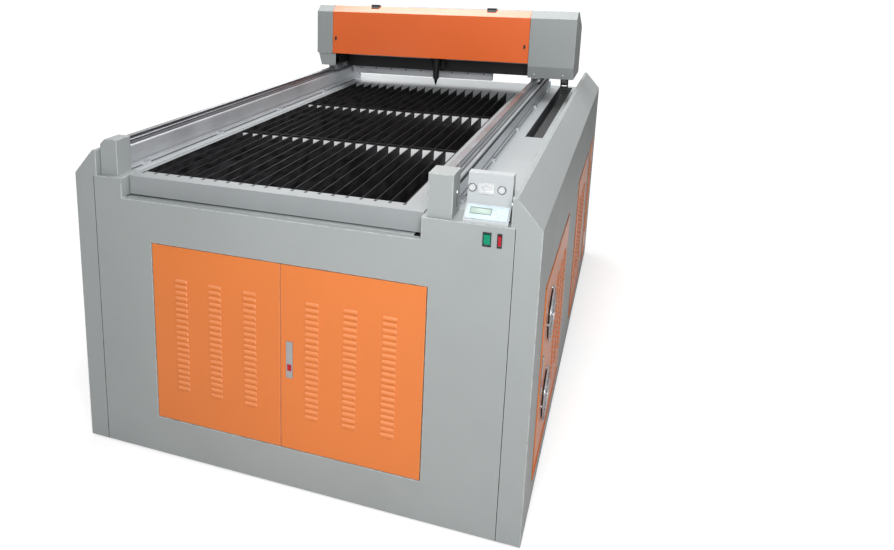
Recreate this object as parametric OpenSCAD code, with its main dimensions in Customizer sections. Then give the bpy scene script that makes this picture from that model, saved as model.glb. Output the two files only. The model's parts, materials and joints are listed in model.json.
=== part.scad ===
// Flatbed laser cutting machine: sheet-metal cabinet, slatted bed, moving gantry with a hinged hood.
// Working frame: front face of the cabinet at y = 0, +Y to the back, +X to the right, floor at z = 0.

/* [Cabinet] */
// Width over the two side panels
body_w = 1500; // [1440:5:1700]
// Depth from the front panel to the rear panel
body_d = 2596; // [2540:2:2900]
// Height of the bed and deck above the floor
bed_h = 971; // [920:1:1050]
// Width of each side panel seen from the front
side_w = 72; // [68:1:80]
// Rise of the side panels above the deck
side_rise = 84; // [60:1:95]
// Height of the slope at the top of a side panel
side_slope_h = 82; // [60:1:110]
// Width of the flat strip on top of a side panel
side_strip = 12; // [10:1:16]
// Thickness of the sheet metal
sheet = 2; // [1.5:0.1:2.5]
// Height of the levelling feet under the panels
foot_h = 8; // [6:1:14]
// Wide side of the welded frame's tubes
tube_tall = 60; // [50:1:70]
// Narrow side of the welded frame's tubes
tube_wide = 40; // [34:1:44]
// Wall of the welded frame's tubes
tube_wall = 3; // [2:0.5:4]

/* [Bed] */
// Number of blade slats across the bed
slat_count = 21; // [12:1:21]
// Thickness of a slat
slat_t = 3; // [2:0.5:5]
// Height of a slat
slat_h = 55; // [40:1:56]
// Distance from the table's rear edge to the cabinet's back
table_rear = 331; // [300:1:360]
// Gap between the left guide beam and the table
table_gap_left = 34; // [30:1:40]
// Gap between the table and the right guide beam
table_gap_right = 19; // [16:1:24]
// Setback of the table's front bar from the front face
table_setback = 44; // [36:1:50]
// Width of the table's front and rear bars
table_bar = 62; // [50:1:66]
// Height of the table's bars
table_bar_h = 62; // [58:1:64]
// Width of the table's left member, up to the first slat
table_left = 17; // [12:0.5:20]
// Width of the table's right member, from the last slat
table_right = 69; // [60:0.5:76]
// Depth of the notch in the front panel
notch_h = 66; // [63:1:75]
// How far the slats reach into slots in the end bars
slat_seat = 12; // [6:1:20]
// Thickness of the cross bars between two sections
cross_bar = 10; // [6:1:16]

/* [Doors] */
// Distance from the front panel's left edge to the front door opening
doors_left = 211; // [190:1:230]
// Distance from the front door opening to the front panel's right edge
doors_right = 231; // [210:1:250]
// Height of the lower edge of the front doors
doors_z = 143; // [110:1:170]
// Distance from the front door opening up to the height of the bed
doors_top = 203; // [180:1:240]
// Height of the lower edge of the side doors
side_doors_z = 92; // [80:1:130]
// Distance from the side door openings up to the height of the bed
side_doors_top = 235; // [200:1:260]
// Distance from the front face to the first side door
side_doors_front = 198; // [170:1:230]
// Distance from the third side door to the cabinet's back
side_doors_rear = 126; // [110:1:150]
// Distance between the first and the second side door
side_doors_gap_1 = 438; // [400:1:480]
// Distance between the second and the third side door
side_doors_gap_2 = 123; // [100:1:150]
// Gap round each door
door_gap = 3; // [2.2:0.1:4]
// Depth of a door's folded edge
door_depth = 18; // [14:1:24]
// Radius of a door's hinge pins
pin_r = 2.5; // [2:0.1:3]
// Radial running clearance of a hinge pin
pin_play = 0.06; // [0.03:0.01:0.1]

/* [Louvres] */
// Number of louvres in a column
louvre_rows = 20; // [10:1:22]
// Distance from one louvre to the next
louvre_pitch = 20; // [17:0.5:22]
// Width of a louvre
louvre_w = 42; // [30:1:60]
// How far a louvre stands proud of its door
louvre_out = 5; // [3:0.5:5]
// Height of a louvre
louvre_h = 11; // [8:0.5:13]
// Distance between columns of louvres, as a share of a front door's width
louvre_share = 0.271; // [0.2:0.001:0.3]

/* [Guide beams] */
// Distance from the deck's left edge to the left beam's inner face
left_beam_in = 64; // [62:1:70]
// Distance from the right beam's inner face to the deck's right edge
right_beam_in = 230; // [226:1:236]
// Width of a guide beam
beam_w = 58; // [54:1:60]
// Height of a guide beam
beam_h = 82; // [70:1:86]
// Height of the clamps under the beams
clamp_h = 5; // [3:0.5:8]
// Width of a linear rail
rail_w = 20; // [15:1:24]
// Height of a linear rail
rail_h = 22; // [16:1:24]
// Gap at the rear between the beams and the cabinet's back
beam_rear_gap = 150; // [130:1:180]

/* [Gantry] */
// Distance from the gantry's front at rest to the cabinet's back
gantry_rest = 617; // [590:1:640]
// Depth of the gantry from front to back
gantry_d = 350; // [340:1:360]
// Distance from the cabinet's left side to the left end of the gantry
gantry_left_in = 53; // [48:1:60]
// How far the hood reaches over the left beam's inner face
hood_over = 7; // [3:1:9]
// Gap between the hood and the right beam's inner face
hood_short = 5; // [2:1:9]
// Distance from the gantry's right end to the deck's right edge
gantry_right_in = 16; // [14:1:26]
// Height of the hood's lower edge above the bed
hood_clear = 193; // [185:1:205]
// Height of the hood's front face
hood_h = 223; // [200:1:260]
// Depth of the slope at the top of the hood
hood_slope_y = 42; // [30:1:60]
// Height of the slope at the top of the hood
hood_slope_z = 30; // [20:1:40]
// Height of the right end box's lower edge above the bed
right_box_clear = 121; // [112:1:128]
// Height of the cross beam's lower edge above the bed
cross_clear = 101; // [98:1:106]
// Height of the cross beam
cross_h = 158; // [140:1:165]
// Depth of the cross beam
cross_d = 60; // [50:1:64]
// Distance from the cross beam's front to the gantry's back
cross_back = 129; // [124:1:140]
// Running gap between a slider and its rail
slide_gap = 0.3; // [0.2:0.05:0.5]
// Rest position of the laser head along the gantry
head_x = -70; // [-200:1:100]
// Height of the nozzle tip above the bed
nozzle_clear = 31; // [26:1:40]
// Radius of the lens tube
lens_r = 16; // [12:0.5:18]
// Radius of the laser tube
tube_r = 34; // [25:0.5:36]

/* [Drag chain] */
// Distance from the chain slot's left edge to the deck's right edge
slot_in = 123; // [118:1:128]
// Width of the chain slot
slot_w = 69; // [60:1:70]
// Distance from the front face to the chain slot
slot_y = 1158; // [1120:1:1200]
// Distance from the chain slot to the cabinet's back
slot_rear = 47; // [40:1:90]
// Width of the chain
chain_w = 40; // [30:1:44]
// Thickness of the chain
chain_t = 24; // [20:1:26]
// Length of one chain link
chain_link = 18; // [14:1:24]

/* [Controls] */
// Distance from the control box's left edge to the deck's right edge
console_in = 131; // [128:1:136]
// Width of the control box
console_w = 122; // [116:1:122]
// Height of the control box
console_h = 127; // [118:1:132]
// Radius of the push buttons
button_r = 9; // [7:0.5:10]
// Height of the rocker switches' bezels
rocker_h = 40; // [34:1:44]

/* [Fans] */
// Outer radius of a fan guard
guard_r = 92; // [85:1:96]
// Distance of the guard's wires from the door's face
guard_out = 8; // [7:0.5:9]
// Distance from the first side door's front edge to the fans' centres
fan_in_y = 230; // [210:1:250]
// Distance of the fans' centres from the door's edges, as a share of its height
fan_share = 0.28; // [0.24:0.005:0.3]

/* [Exhaust] */
// Radius of the exhaust spigot
spigot_r = 75; // [60:1:80]
// Length of the exhaust spigot behind the rear panel
spigot_l = 50; // [40:1:60]

/* [Hidden] */
$fn = 48;

grey = "#a3a8a7";
pale_grey = "#c4c8c6";
orange = "#e2823f";
deep_orange = "#d4622f";
steel = "#c9ccd0";
black = "#1d1d20";
dark_steel = "#35332f";

half_w = body_w / 2;
seam_x = half_w - side_w;
deck_x = seam_x - 12;
side_top = bed_h + side_rise;
strip_x = deck_x + side_strip;
wall_x = deck_x + sheet;
deck_z = bed_h - sheet;
frame_x = deck_x - tube_wide;
frame_inset = 30;
table_z = bed_h - table_bar_h;
notch_gap = 4;
left_beam_x = left_beam_in - deck_x;
right_beam_x = deck_x - right_beam_in;
table_x = left_beam_x + table_gap_left;
table_x1 = right_beam_x - table_gap_right;
notch_x0 = table_x - notch_gap;
notch_x1 = table_x1 + notch_gap;
ledge_z = bed_h - notch_h;
ear_d = 110;
ledge_d = 24;
bed_y0 = table_setback + table_bar;
table_y1 = body_d - table_rear;
bed_y1 = table_y1 - table_bar;
section_l = (bed_y1 - bed_y0) / 3;
slat_x0 = table_x + table_left + slat_t;
slat_pitch = (table_x1 - table_right - slat_t - slat_x0) / (slat_count - 1);
slat_z = bed_h - slat_h;
slat_play = 0.4;
deck_y = ear_d + sheet;
beam_z = bed_h + clamp_h;
beam_top = beam_z + beam_h;
left_post = [left_beam_x - beam_w - 3, 24];
right_post = [right_beam_x - 2, 11];
post_d = 77;
beam_y0 = left_post[1] + post_d;
beam_y1 = body_d - beam_rear_gap;
left_rail_x = left_beam_x - beam_w / 2;
right_rail_x = right_beam_x + beam_w / 2;
gantry_y = body_d - gantry_rest;
gantry_y1 = gantry_y + gantry_d;
gantry_x0 = gantry_left_in - half_w;
gantry_x1 = deck_x - gantry_right_in;
hood_x0 = left_beam_x - hood_over;
hood_x1 = right_beam_x - hood_short;
hood_z = bed_h + hood_clear;
hood_top = hood_z + hood_h;
ridge_y = gantry_y + hood_slope_y;
ridge_z = hood_top + hood_slope_z;
right_box_z = bed_h + right_box_clear;
cross_y = gantry_y1 - cross_back;
cross_z = bed_h + cross_clear;
cross_top = cross_z + cross_h;
foot_plate_z = beam_top + rail_h + 20;
foot_plate_t = 10;
cross_rail_w = 15;
cross_rail_z = cross_z + 70;
head_y = cross_y - 60;
nozzle_z = bed_h + nozzle_clear;
slot_x = deck_x - slot_in;
slot_l = body_d - slot_rear - slot_y;
chain_x = slot_x + (slot_w - chain_w) / 2;
trough_z = table_z + sheet;
chain_top = right_box_z;
loop_z = (chain_top + trough_z) / 2;
loop_r = (chain_top - trough_z) / 2;
loop_y = gantry_y1;
chain_fixed_y = slot_y + 90;
console_x = deck_x - console_in;
doors_x = doors_left - seam_x;
doors_w = 2 * seam_x - doors_left - doors_right;
doors_h = bed_h - doors_top - doors_z;
side_doors_h = bed_h - side_doors_top - side_doors_z;
// the three side doors divide the length that their gaps leave, in these parts
side_parts = [804, 617, 290];
side_unit = (body_d - side_doors_front - side_doors_gap_1 - side_doors_gap_2 - side_doors_rear)
    / (side_parts[0] + side_parts[1] + side_parts[2]);
side_door_1_w = side_parts[0] * side_unit;
side_door_2_w = side_parts[1] * side_unit;
side_door_3_w = side_parts[2] * side_unit;
side_door_1_y = side_doors_front;
side_door_2_y = side_door_1_y + side_door_1_w + side_doors_gap_1;
side_door_3_y = side_door_2_y + side_door_2_w + side_doors_gap_2;
pin_in = pin_r + 4.5;
pin_back = sheet + pin_r + 0.5;
pin_reach = door_gap + sheet + 4;
frame_depth = 24;
front_out = louvre_out;
place = [-guard_out / 2, -(body_d + spigot_l - front_out) / 2, 0];

// Shapes that repeat

module span(lo, hi) {
    translate(lo) cube(hi - lo);
}

// A flat shape drawn in X and Z, drawn out along Y
module along_y(y0, y1) {
    translate([0, y1, 0]) rotate([90, 0, 0]) linear_extrude(y1 - y0) children();
}

// A flat shape drawn in Y and Z, drawn out along X
module along_x(x0, x1) {
    translate([x0, 0, 0]) rotate([90, 0, 90]) linear_extrude(x1 - x0) children();
}

function unit(v) = v / norm(v);
function left_of(v) = [-v[1], v[0]];
function side_before(path, i) = left_of(unit(path[max(i, 1)] - path[max(i, 1) - 1]));
function side_after(path, i) = let (k = min(i, len(path) - 2)) left_of(unit(path[k + 1] - path[k]));
function fold_point(path, i, t) =
    let (a = side_before(path, i), b = side_after(path, i)) path[i] + t * (a + b) / (1 + a * b);
// Outline of a sheet folded along a path, with its thickness to the left of the path
function folded(path, t) =
    concat(path, [for (i = [len(path) - 1 : -1 : 0]) fold_point(path, i, t)]);

// A square or rectangular tube between two corners, hollow along the given axis
module tube(lo, hi, axis) {
    wall = [for (i = [0 : 2]) i == axis ? -1 : tube_wall];
    difference() {
        span(lo, hi);
        span(lo + wall, hi - wall);
    }
}

// The folded return round a door opening that lies in the XZ plane
module door_frame(w, h) {
    difference() {
        span([-sheet, 0, -sheet], [w + sheet, frame_depth, h + sheet]);
        span([0, -1, 0], [w, frame_depth + 1, h]);
    }
}

// Bulges out from its top edge to the lip over its slot
module louvre() {
    centre = (louvre_h * louvre_h - louvre_out * louvre_out) / (2 * louvre_out);
    along_x(-louvre_w / 2, louvre_w / 2) intersection() {
        translate([centre, 0]) circle(r = centre + louvre_out);
        translate([-2 * louvre_out, 0]) square([2 * louvre_out + sheet / 2, 2 * louvre_h]);
    }
}

// A folded pan door in the XZ plane, outer face at y = 0, with hinge pins and columns of louvres
module pan_door(w, h, pin_x, columns, first_z) {
    difference() {
        union() {
            difference() {
                cube([w, door_depth, h]);
                translate([sheet, sheet, sheet]) cube([w - 2 * sheet, door_depth, h - 2 * sheet]);
            }
            translate([pin_x, pin_back, -pin_reach]) cylinder(r = pin_r, h = pin_reach + sheet);
            translate([pin_x, pin_back, h - sheet]) cylinder(r = pin_r, h = pin_reach + sheet);
            for (x = columns, i = [0 : louvre_rows - 1])
                translate([x, 0, first_z + i * louvre_pitch]) louvre();
        }
        for (x = columns, i = [0 : louvre_rows - 1])
            translate([x - louvre_w / 2 + 1, -1, first_z + i * louvre_pitch - 2.5])
                cube([louvre_w - 2, sheet + 2, 2.5]);
    }
}

function louvre_z(h) = (h - (louvre_rows - 1) * louvre_pitch) / 2;
function louvre_columns(w, n, share) = [for (i = [0 : n - 1]) w * (0.5 + (i - (n - 1) / 2) * share)];

// Cabinet

module base_frame() {
    y0 = frame_inset;
    y1 = body_d - frame_inset;
    top = deck_z;
    low = foot_h + 20;
    posts_y = [y0, (y0 + y1 - tube_wide) / 2, y1 - tube_wide];
    cross_tubes_y = [
        ear_d, bed_y0 + section_l - tube_wide / 2, bed_y0 + 2 * section_l - tube_wide / 2, bed_y1
    ];
    color("#5d6163") {
        for (x = [-frame_x - tube_wide, frame_x]) {
            tube([x, y0, top - tube_tall], [x + tube_wide, y1, top], 1);
            tube([x, y0, low], [x + tube_wide, y1, low + tube_wide], 1);
            for (y = posts_y)
                tube([x, y, low + tube_wide], [x + tube_wide, y + tube_wide, top - tube_tall], 2);
        }
        for (y = posts_y)
            tube([-frame_x, y, low], [frame_x, y + tube_wide, low + tube_wide], 0);
        // the bed's cross tubes hang on cleats inside the top rails
        for (y = cross_tubes_y) {
            tube([-frame_x, y, table_z - tube_tall], [frame_x, y + tube_wide, table_z], 0);
            for (x = [-frame_x - tube_wide, frame_x])
                span([x, y, table_z - tube_tall], [x + tube_wide, y + tube_wide, top - tube_tall]);
        }
    }
}

module levelling_feet() {
    mid = frame_x + tube_wide / 2;
    color(black)
        for (x = [-mid, mid], y = [frame_inset + 60, body_d / 2, body_d - frame_inset - 60])
            translate([x, y, 0]) {
                cylinder(r = 28, h = foot_h);
                cylinder(r = 8, h = foot_h + 20);
            }
}

module front_panel() {
    color(grey) {
        difference() {
            union() {
                along_y(0, sheet) polygon([
                    [-seam_x, foot_h], [seam_x, foot_h], [seam_x, bed_h], [notch_x1, bed_h],
                    [notch_x1, ledge_z], [notch_x0, ledge_z], [notch_x0, bed_h], [-seam_x, bed_h]
                ]);
                // ears beside the notch, folded back at the top and down the notch's sides
                along_y(sheet, ear_d) {
                    polygon(folded([[notch_x1, ledge_z], [notch_x1, bed_h], [wall_x, bed_h]], -sheet));
                    polygon(folded([[notch_x0, ledge_z], [notch_x0, bed_h], [-wall_x, bed_h]], sheet));
                }
                span([notch_x0 - sheet, sheet, ledge_z - sheet], [notch_x1 + sheet, ledge_d, ledge_z]);
            }
            span([doors_x, -1, doors_z], [doors_x + doors_w, sheet + 1, doors_z + doors_h]);
            for (r = rockers)
                rocker_opening(r, -1, sheet + 1);
        }
        difference() {
            translate([doors_x, sheet, doors_z]) door_frame(doors_w, doors_h);
            for (x = [doors_x + door_gap + pin_in, doors_x + doors_w - door_gap - pin_in])
                translate([x, pin_back, doors_z - sheet - 1])
                    cylinder(r = pin_r + pin_play, h = doors_h + 2 * sheet + 2);
        }
    }
}

function side_path() = [
    [half_w, foot_h], [half_w, side_top - side_slope_h], [strip_x, side_top],
    [deck_x, side_top], [deck_x, bed_h]
];

module side_shell() {
    end = [
        [seam_x, foot_h], [half_w, foot_h], [half_w, side_top - side_slope_h], [strip_x, side_top],
        [deck_x, side_top], [deck_x, bed_h], [seam_x, bed_h]
    ];
    along_y(0, body_d) polygon(folded(side_path(), sheet));
    for (y = [0, body_d - sheet])
        along_y(y, y + sheet) polygon(end);
}

module left_side_panel() {
    color(grey) mirror([1, 0, 0]) side_shell();
}

side_doors = [
    [side_door_1_y, side_door_1_w], [side_door_2_y, side_door_2_w], [side_door_3_y, side_door_3_w]
];

// Carries what is drawn for a door in the XZ plane over to the right side panel
module on_side(y) {
    translate([half_w, y, side_doors_z]) rotate([0, 0, 90]) children();
}

module right_side_panel() {
    color(grey) difference() {
        union() {
            side_shell();
            for (d = side_doors)
                on_side(d[0]) translate([0, sheet, 0]) door_frame(d[1], side_doors_h);
        }
        for (d = side_doors)
            on_side(d[0]) {
                span([0, -1, 0], [d[1], sheet + 1, side_doors_h]);
                translate([d[1] - door_gap - pin_in, pin_back, -sheet - 1])
                    cylinder(r = pin_r + pin_play, h = side_doors_h + 2 * sheet + 2);
            }
    }
}

spigot_x = -seam_x + 260;
spigot_z = 320;

module rear_panel() {
    color(grey) difference() {
        union() {
            span([-seam_x, body_d - sheet, foot_h], [seam_x, body_d, bed_h]);
            for (x = [-seam_x, seam_x - sheet])
                span([x, body_d - 26, foot_h], [x + sheet, body_d - sheet, deck_z - 12]);
        }
        translate([spigot_x, body_d + 1, spigot_z]) rotate([90, 0, 0])
            cylinder(r = spigot_r - sheet, h = sheet + 2);
        // air slots beside the exhaust
        for (i = [0 : 11], x = [0.38 * seam_x, 0.63 * seam_x])
            span([x, body_d - sheet - 1, 180 + i * 26], [x + 0.18 * seam_x, body_d + 1, 188 + i * 26]);
    }
}

module exhaust_spigot() {
    color(pale_grey) translate([spigot_x, body_d, spigot_z]) rotate([-90, 0, 0]) difference() {
        union() {
            cylinder(r = spigot_r + 22, h = sheet);
            cylinder(r = spigot_r, h = spigot_l);
        }
        translate([0, 0, -1]) cylinder(r = spigot_r - sheet, h = spigot_l + 2);
    }
}

module deck() {
    color(pale_grey) difference() {
        span([-wall_x, deck_y, deck_z], [wall_x, body_d - sheet, bed_h]);
        span([notch_x0, deck_y - 1, deck_z - 1], [notch_x1, table_y1 + notch_gap, bed_h + 1]);
        span([slot_x, slot_y, deck_z - 1], [slot_x + slot_w, slot_y + slot_l, bed_h + 1]);
    }
}

module chain_trough() {
    x1 = slot_x + slot_w;
    color("#55595b") {
        along_y(slot_y, slot_y + slot_l)
            polygon(folded([[x1, deck_z], [x1, trough_z], [slot_x, trough_z], [slot_x, deck_z]], sheet));
        for (y = [slot_y - sheet, slot_y + slot_l])
            span([slot_x - sheet, y, trough_z - sheet], [x1 + sheet, y + sheet, deck_z]);
    }
}

module waste_tray() {
    depth = 0.175 * bed_h;
    z1 = table_z - tube_tall;
    lo = [table_x + 20, bed_y0 + 30, z1 - depth];
    hi = [table_x1 - 20, bed_y1, z1];
    color(dark_steel) difference() {
        span(lo, hi);
        span(lo + [sheet, sheet, sheet], hi + [-sheet, -sheet, 1]);
    }
}

module power_supply() {
    mid = body_d / 2;
    low = foot_h + 20 + tube_wide;
    x0 = 0.24 * frame_x;
    w = 0.51 * frame_x;
    half = 0.07 * body_d;
    h = 0.196 * bed_h;
    color("#8b9092") difference() {
        span([x0, mid - half, low], [x0 + w, mid + half, low + h]);
        for (i = [0 : 8]) let (x = x0 + w * (0.12 + 0.088 * i))
            span([x, mid - half - 1, low + 0.2 * h], [x + 0.03 * w, mid - half + 10, low + 0.8 * h]);
    }
}

// Bed

module table_frame() {
    x_left = slat_x0 - slat_t;
    x_right = slat_x0 + (slat_count - 1) * slat_pitch + slat_t;
    ledge = 12;
    color(pale_grey) difference() {
        span([table_x, table_setback, table_z], [table_x1, table_y1, bed_h]);
        span([x_left, bed_y0, slat_z], [x_right, bed_y1, bed_h + 1]);
        span([x_left, bed_y0 + ledge, table_z - 1], [x_right, bed_y1 - ledge, bed_h + 1]);
        for (i = [0 : slat_count - 1]) let (x = slat_x0 + i * slat_pitch)
            span([x - slat_t / 2 - slat_play, bed_y0 - slat_seat - slat_play, slat_z],
                 [x + slat_t / 2 + slat_play, bed_y1 + slat_seat + slat_play, bed_h + 1]);
    }
}

module slat_supports() {
    x0 = slat_x0 - slat_t;
    x1 = slat_x0 + (slat_count - 1) * slat_pitch + slat_t;
    half = cross_bar / 2;
    step = 12;
    color("#d9dcda")
        for (k = [1, 2]) let (y = bed_y0 + k * section_l)
            difference() {
                along_x(x0, x1) polygon([
                    [y - half - step, table_z], [y + half + step, table_z], [y + half + step, slat_z],
                    [y + half, slat_z], [y + half, bed_h], [y - half, bed_h], [y - half, slat_z],
                    [y - half - step, slat_z]
                ]);
                for (i = [0 : slat_count - 1]) let (x = slat_x0 + i * slat_pitch)
                    span([x - slat_t / 2 - slat_play, y - half - 1, slat_z],
                         [x + slat_t / 2 + slat_play, y + half + 1, bed_h + 1]);
            }
}

module slats() {
    color(dark_steel)
        for (k = [0 : 2], i = [0 : slat_count - 1]) let (x = slat_x0 + i * slat_pitch) {
            y0 = bed_y0 + k * section_l + (k == 0 ? -slat_seat : slat_play);
            y1 = bed_y0 + (k + 1) * section_l - (k == 2 ? -slat_seat : slat_play);
            span([x - slat_t / 2, y0, slat_z], [x + slat_t / 2, y1, bed_h]);
        }
}

// Guide beams, rails and belts

module beam_section(x0) {
    edge = 8;
    translate([x0, beam_z]) difference() {
        union() {
            square([beam_w, beam_h - edge]);
            translate([edge, 0]) square([beam_w - 2 * edge, beam_h]);
            for (x = [edge, beam_w - edge])
                translate([x, beam_h - edge]) circle(r = edge);
        }
        // grooves along both sides of the extrusion
        for (x = [-1, beam_w - 3])
            translate([x, 14]) square([4, 8]);
    }
}

module left_beam() {
    color(steel) along_y(beam_y0, beam_y1) beam_section(left_beam_x - beam_w);
}

module right_beam() {
    color(steel) along_y(beam_y0, beam_y1) beam_section(right_beam_x);
}

module rail_section(w, h) {
    waist = w * 0.14;
    polygon([
        [-w / 2, 0], [w / 2, 0], [w / 2, h * 0.35], [w / 2 - waist, h * 0.5], [w / 2, h * 0.72], [w / 2, h],
        [-w / 2, h], [-w / 2, h * 0.72], [-w / 2 + waist, h * 0.5], [-w / 2, h * 0.35]
    ]);
}

module side_rails() {
    color("#8f9498")
        for (x = [left_rail_x, right_rail_x])
            along_y(beam_y0, beam_y1) translate([x, beam_top]) rail_section(rail_w, rail_h);
}

clamps_y = [for (f = [0.02, 0.25, 0.5, 0.75, 0.98]) beam_y0 + 40 + f * (beam_y1 - beam_y0 - 80)];

// Pads under the beams, each with a lip on the beam's right-hand side
module beam_clamps() {
    lip = 9;
    color(steel)
        for (x = [left_beam_x - beam_w, right_beam_x], y = clamps_y) {
            span([x, y - 20, bed_h], [x + beam_w + lip, y + 20, beam_z]);
            span([x + beam_w, y - 20, beam_z], [x + beam_w + lip, y + 20, beam_z + 7]);
        }
}

belt_w = 12;
belt_pitch = 14;

module drive_belts() {
    count = floor((beam_y1 - beam_y0 - 40) / belt_pitch);
    y0 = beam_y0 + 20;
    y1 = y0 + count * belt_pitch;
    teeth = [for (i = [0 : count - 1], p = [[0, 2], [0, 4.5], [0.55, 4.5], [0.55, 2]])
        [y0 + (i + p[0]) * belt_pitch, p[1]]];
    color(black)
        for (x = [left_rail_x, right_rail_x] + [rail_w / 2 + 4, -rail_w / 2 - 4 - belt_w])
            translate([0, 0, beam_top]) along_x(x, x + belt_w)
                polygon(concat([[y0, 0]], teeth, [[y1, 2], [y1, 0]]));
}

// Sheet covers over the front ends of the beams, open at the back and underneath
module post_cover(outline, d) {
    along_y(0, sheet) polygon(outline);
    along_y(sheet, d) polygon(folded(outline, -sheet));
}

// The left one slopes at its outer top edge
module left_post_cover() {
    w = beam_w + 5;
    h = beam_h + 36;
    slope = 18;
    color(grey) translate([left_post[0], left_post[1], bed_h])
        post_cover([[0, 0], [0, h - slope], [slope, h], [w, h], [w, 0]], post_d);
}

module right_post_cover() {
    w = beam_w + 12;
    h = beam_h + 43;
    color(grey) translate([right_post[0], right_post[1], bed_h])
        post_cover([[0, 0], [0, h], [w, h], [w, 0]], beam_y0 - right_post[1]);
}

// Control box

console_path = [[3, 0], [3, 9], [50, 41], [60, console_h], [94, console_h], [94, 0]];
key_slope = unit(console_path[2] - console_path[1]);
face_slope = unit(console_path[3] - console_path[2]);
buttons_x = [console_x + 13, console_x + 93];
button_up = 45;
button_hole = 8;
button_play = 0.3;

// Carries a shape drawn in X and up a slope onto a sloping face of the control box, with +Z outwards
module on_slope(from, slope) {
    translate([0, from[0], bed_h + from[1]]) rotate([atan2(slope[1], slope[0]), 0, 0]) children();
}

module on_face() {
    on_slope(console_path[2], face_slope) children();
}

module control_box() {
    x1 = console_x + console_w;
    color(grey) difference() {
        translate([0, 0, bed_h]) {
            along_x(console_x, x1) polygon(folded(console_path, -sheet));
            for (x = [console_x, x1 - sheet])
                along_x(x, x + sheet) polygon(console_path);
        }
        for (x = buttons_x)
            on_face() translate([x, button_up, -button_hole])
                cylinder(r = button_r + button_play, h = button_hole + 1);
    }
}

module button_rings() {
    color("silver")
        for (x = buttons_x)
            on_face() translate([x, button_up, 0]) difference() {
                cylinder(r = button_r + 3, h = 3);
                translate([0, 0, -1]) cylinder(r = button_r + button_play, h = 5);
            }
}

module push_button(x) {
    color("whitesmoke") on_face() translate([x, button_up, 3.5 - button_hole])
        cylinder(r = button_r, h = button_hole + 2);
}

module left_button() {
    push_button(buttons_x[0]);
}

module right_button() {
    push_button(buttons_x[1]);
}

meter_w = 44;
meter_h = 30;

module meter() {
    color("white") on_face() translate([console_x + console_w / 2 - 10, button_up, 0]) difference() {
        span([-meter_w / 2, -meter_h / 2, 0], [meter_w / 2, meter_h / 2, 5]);
        span([-meter_w / 2 + 2, -meter_h / 2 + 2, 4], [meter_w / 2 - 2, meter_h / 2 - 2, 6]);
    }
}

module keypad() {
    long = norm(console_path[2] - console_path[1]);
    edge = 4;
    color("#dfe9ee") on_slope(console_path[1], key_slope) translate([console_x, 0, 0]) difference() {
        union() {
            span([edge, edge, 0], [console_w - edge, long - edge, 3]);
            for (k = [[0, 0], [9, 0], [-9, 0], [0, 8], [0, -8]])
                translate([console_w - 28 + k[0], long / 2 + k[1], 0]) cylinder(r = 3.4, h = 4);
        }
        span([14, long / 2 - 8, 2], [62, long / 2 + 14, 4]);
    }
}

// Switches: middle of each bezel and its width
rockers = [[console_x + 69, 23], [console_x + 103, 13]];
rocker_z = bed_h - 40;
bezel_out = 3;
rocker_in = 4;
rocker_tilt = 8;
rocker_pivot = 4;
pivot_r = 1.5;

module rocker_opening(r, y0, y1) {
    translate([r[0], 0, rocker_z])
        span([-r[1] / 2 + 2, y0, -rocker_h / 2 + rocker_in], [r[1] / 2 - 2, y1, rocker_h / 2 - rocker_in]);
}

module switch_bezels() {
    color(black)
        for (r = rockers)
            difference() {
                translate([r[0], 0, rocker_z])
                    span([-r[1] / 2, -bezel_out, -rocker_h / 2], [r[1] / 2, 0, rocker_h / 2]);
                rocker_opening(r, -bezel_out - 1, 1);
            }
    // cheeks behind the panel, which carry the rockers' pins
    color(black)
        for (r = rockers, side = [-r[1] / 2, r[1] / 2 - 2])
            difference() {
                translate([r[0] + side, sheet, rocker_z - 9]) cube([2, rocker_pivot + 4, 18]);
                translate([r[0] + side - 1, rocker_pivot, rocker_z]) rotate([0, 90, 0])
                    cylinder(r = pivot_r + pin_play, h = 4);
            }
}

module rocker(r) {
    tall = rocker_h / 2 - rocker_in - 1.6;
    half = r[1] / 2 - 2 - 0.4;
    translate([r[0], rocker_pivot, rocker_z]) rotate([rocker_tilt, 0, 0]) {
        along_x(-half, half)
            polygon([[-6.4, -tall], [-5, 0], [-6.4, tall], [4, tall], [4, -tall]]);
        rotate([0, 90, 0]) cylinder(r = pivot_r, h = r[1] - 0.6, center = true);
    }
}

module main_rocker() {
    color("#12a57a") rocker(rockers[0]);
}

module laser_rocker() {
    color("#c8323c") rocker(rockers[1]);
}

module limit_switch() {
    color("#c9dbe3") translate([right_beam_x + 19, beam_y1 + 19, bed_h]) cube([42, 40, 38]);
}

// Drag chain

function comb(y0, n, z, notch) = [for (i = [0 : n - 1], p = [[0, 0], [0.84, 0], [0.84, 1], [1, 1]])
    [y0 + (i + p[0]) * chain_link, z + p[1] * notch]];
function reversed(list) = [for (i = [len(list) - 1 : -1 : 0]) list[i]];

module chain_run(y0, y1, z) {
    n = floor((y1 - y0) / chain_link);
    start = y1 - n * chain_link;
    along_x(chain_x, chain_x + chain_w)
        polygon(concat(comb(start, n, z, 2.5), reversed(comb(start, n, z + chain_t, -2.5))));
}

module drag_chain_lower() {
    color(black) chain_run(chain_fixed_y, loop_y - slide_gap, trough_z);
}

module drag_chain_loop() {
    links = floor(180 / (chain_link / loop_r * 57.3));
    color(black) along_x(chain_x, chain_x + chain_w) translate([loop_y, loop_z]) difference() {
        circle(r = loop_r - slide_gap, $fn = 96);
        circle(r = loop_r - chain_t + slide_gap, $fn = 96);
        translate([-2 * loop_r, -2 * loop_r]) square([2 * loop_r, 4 * loop_r]);
        for (i = [1 : links - 1])
            rotate(-90 + i * 180 / links) {
                translate([loop_r - 2.8, -1.4]) square([6, 2.8]);
                translate([loop_r - chain_t - 6, -1.4]) square([8.5, 2.8]);
            }
    }
}

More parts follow.
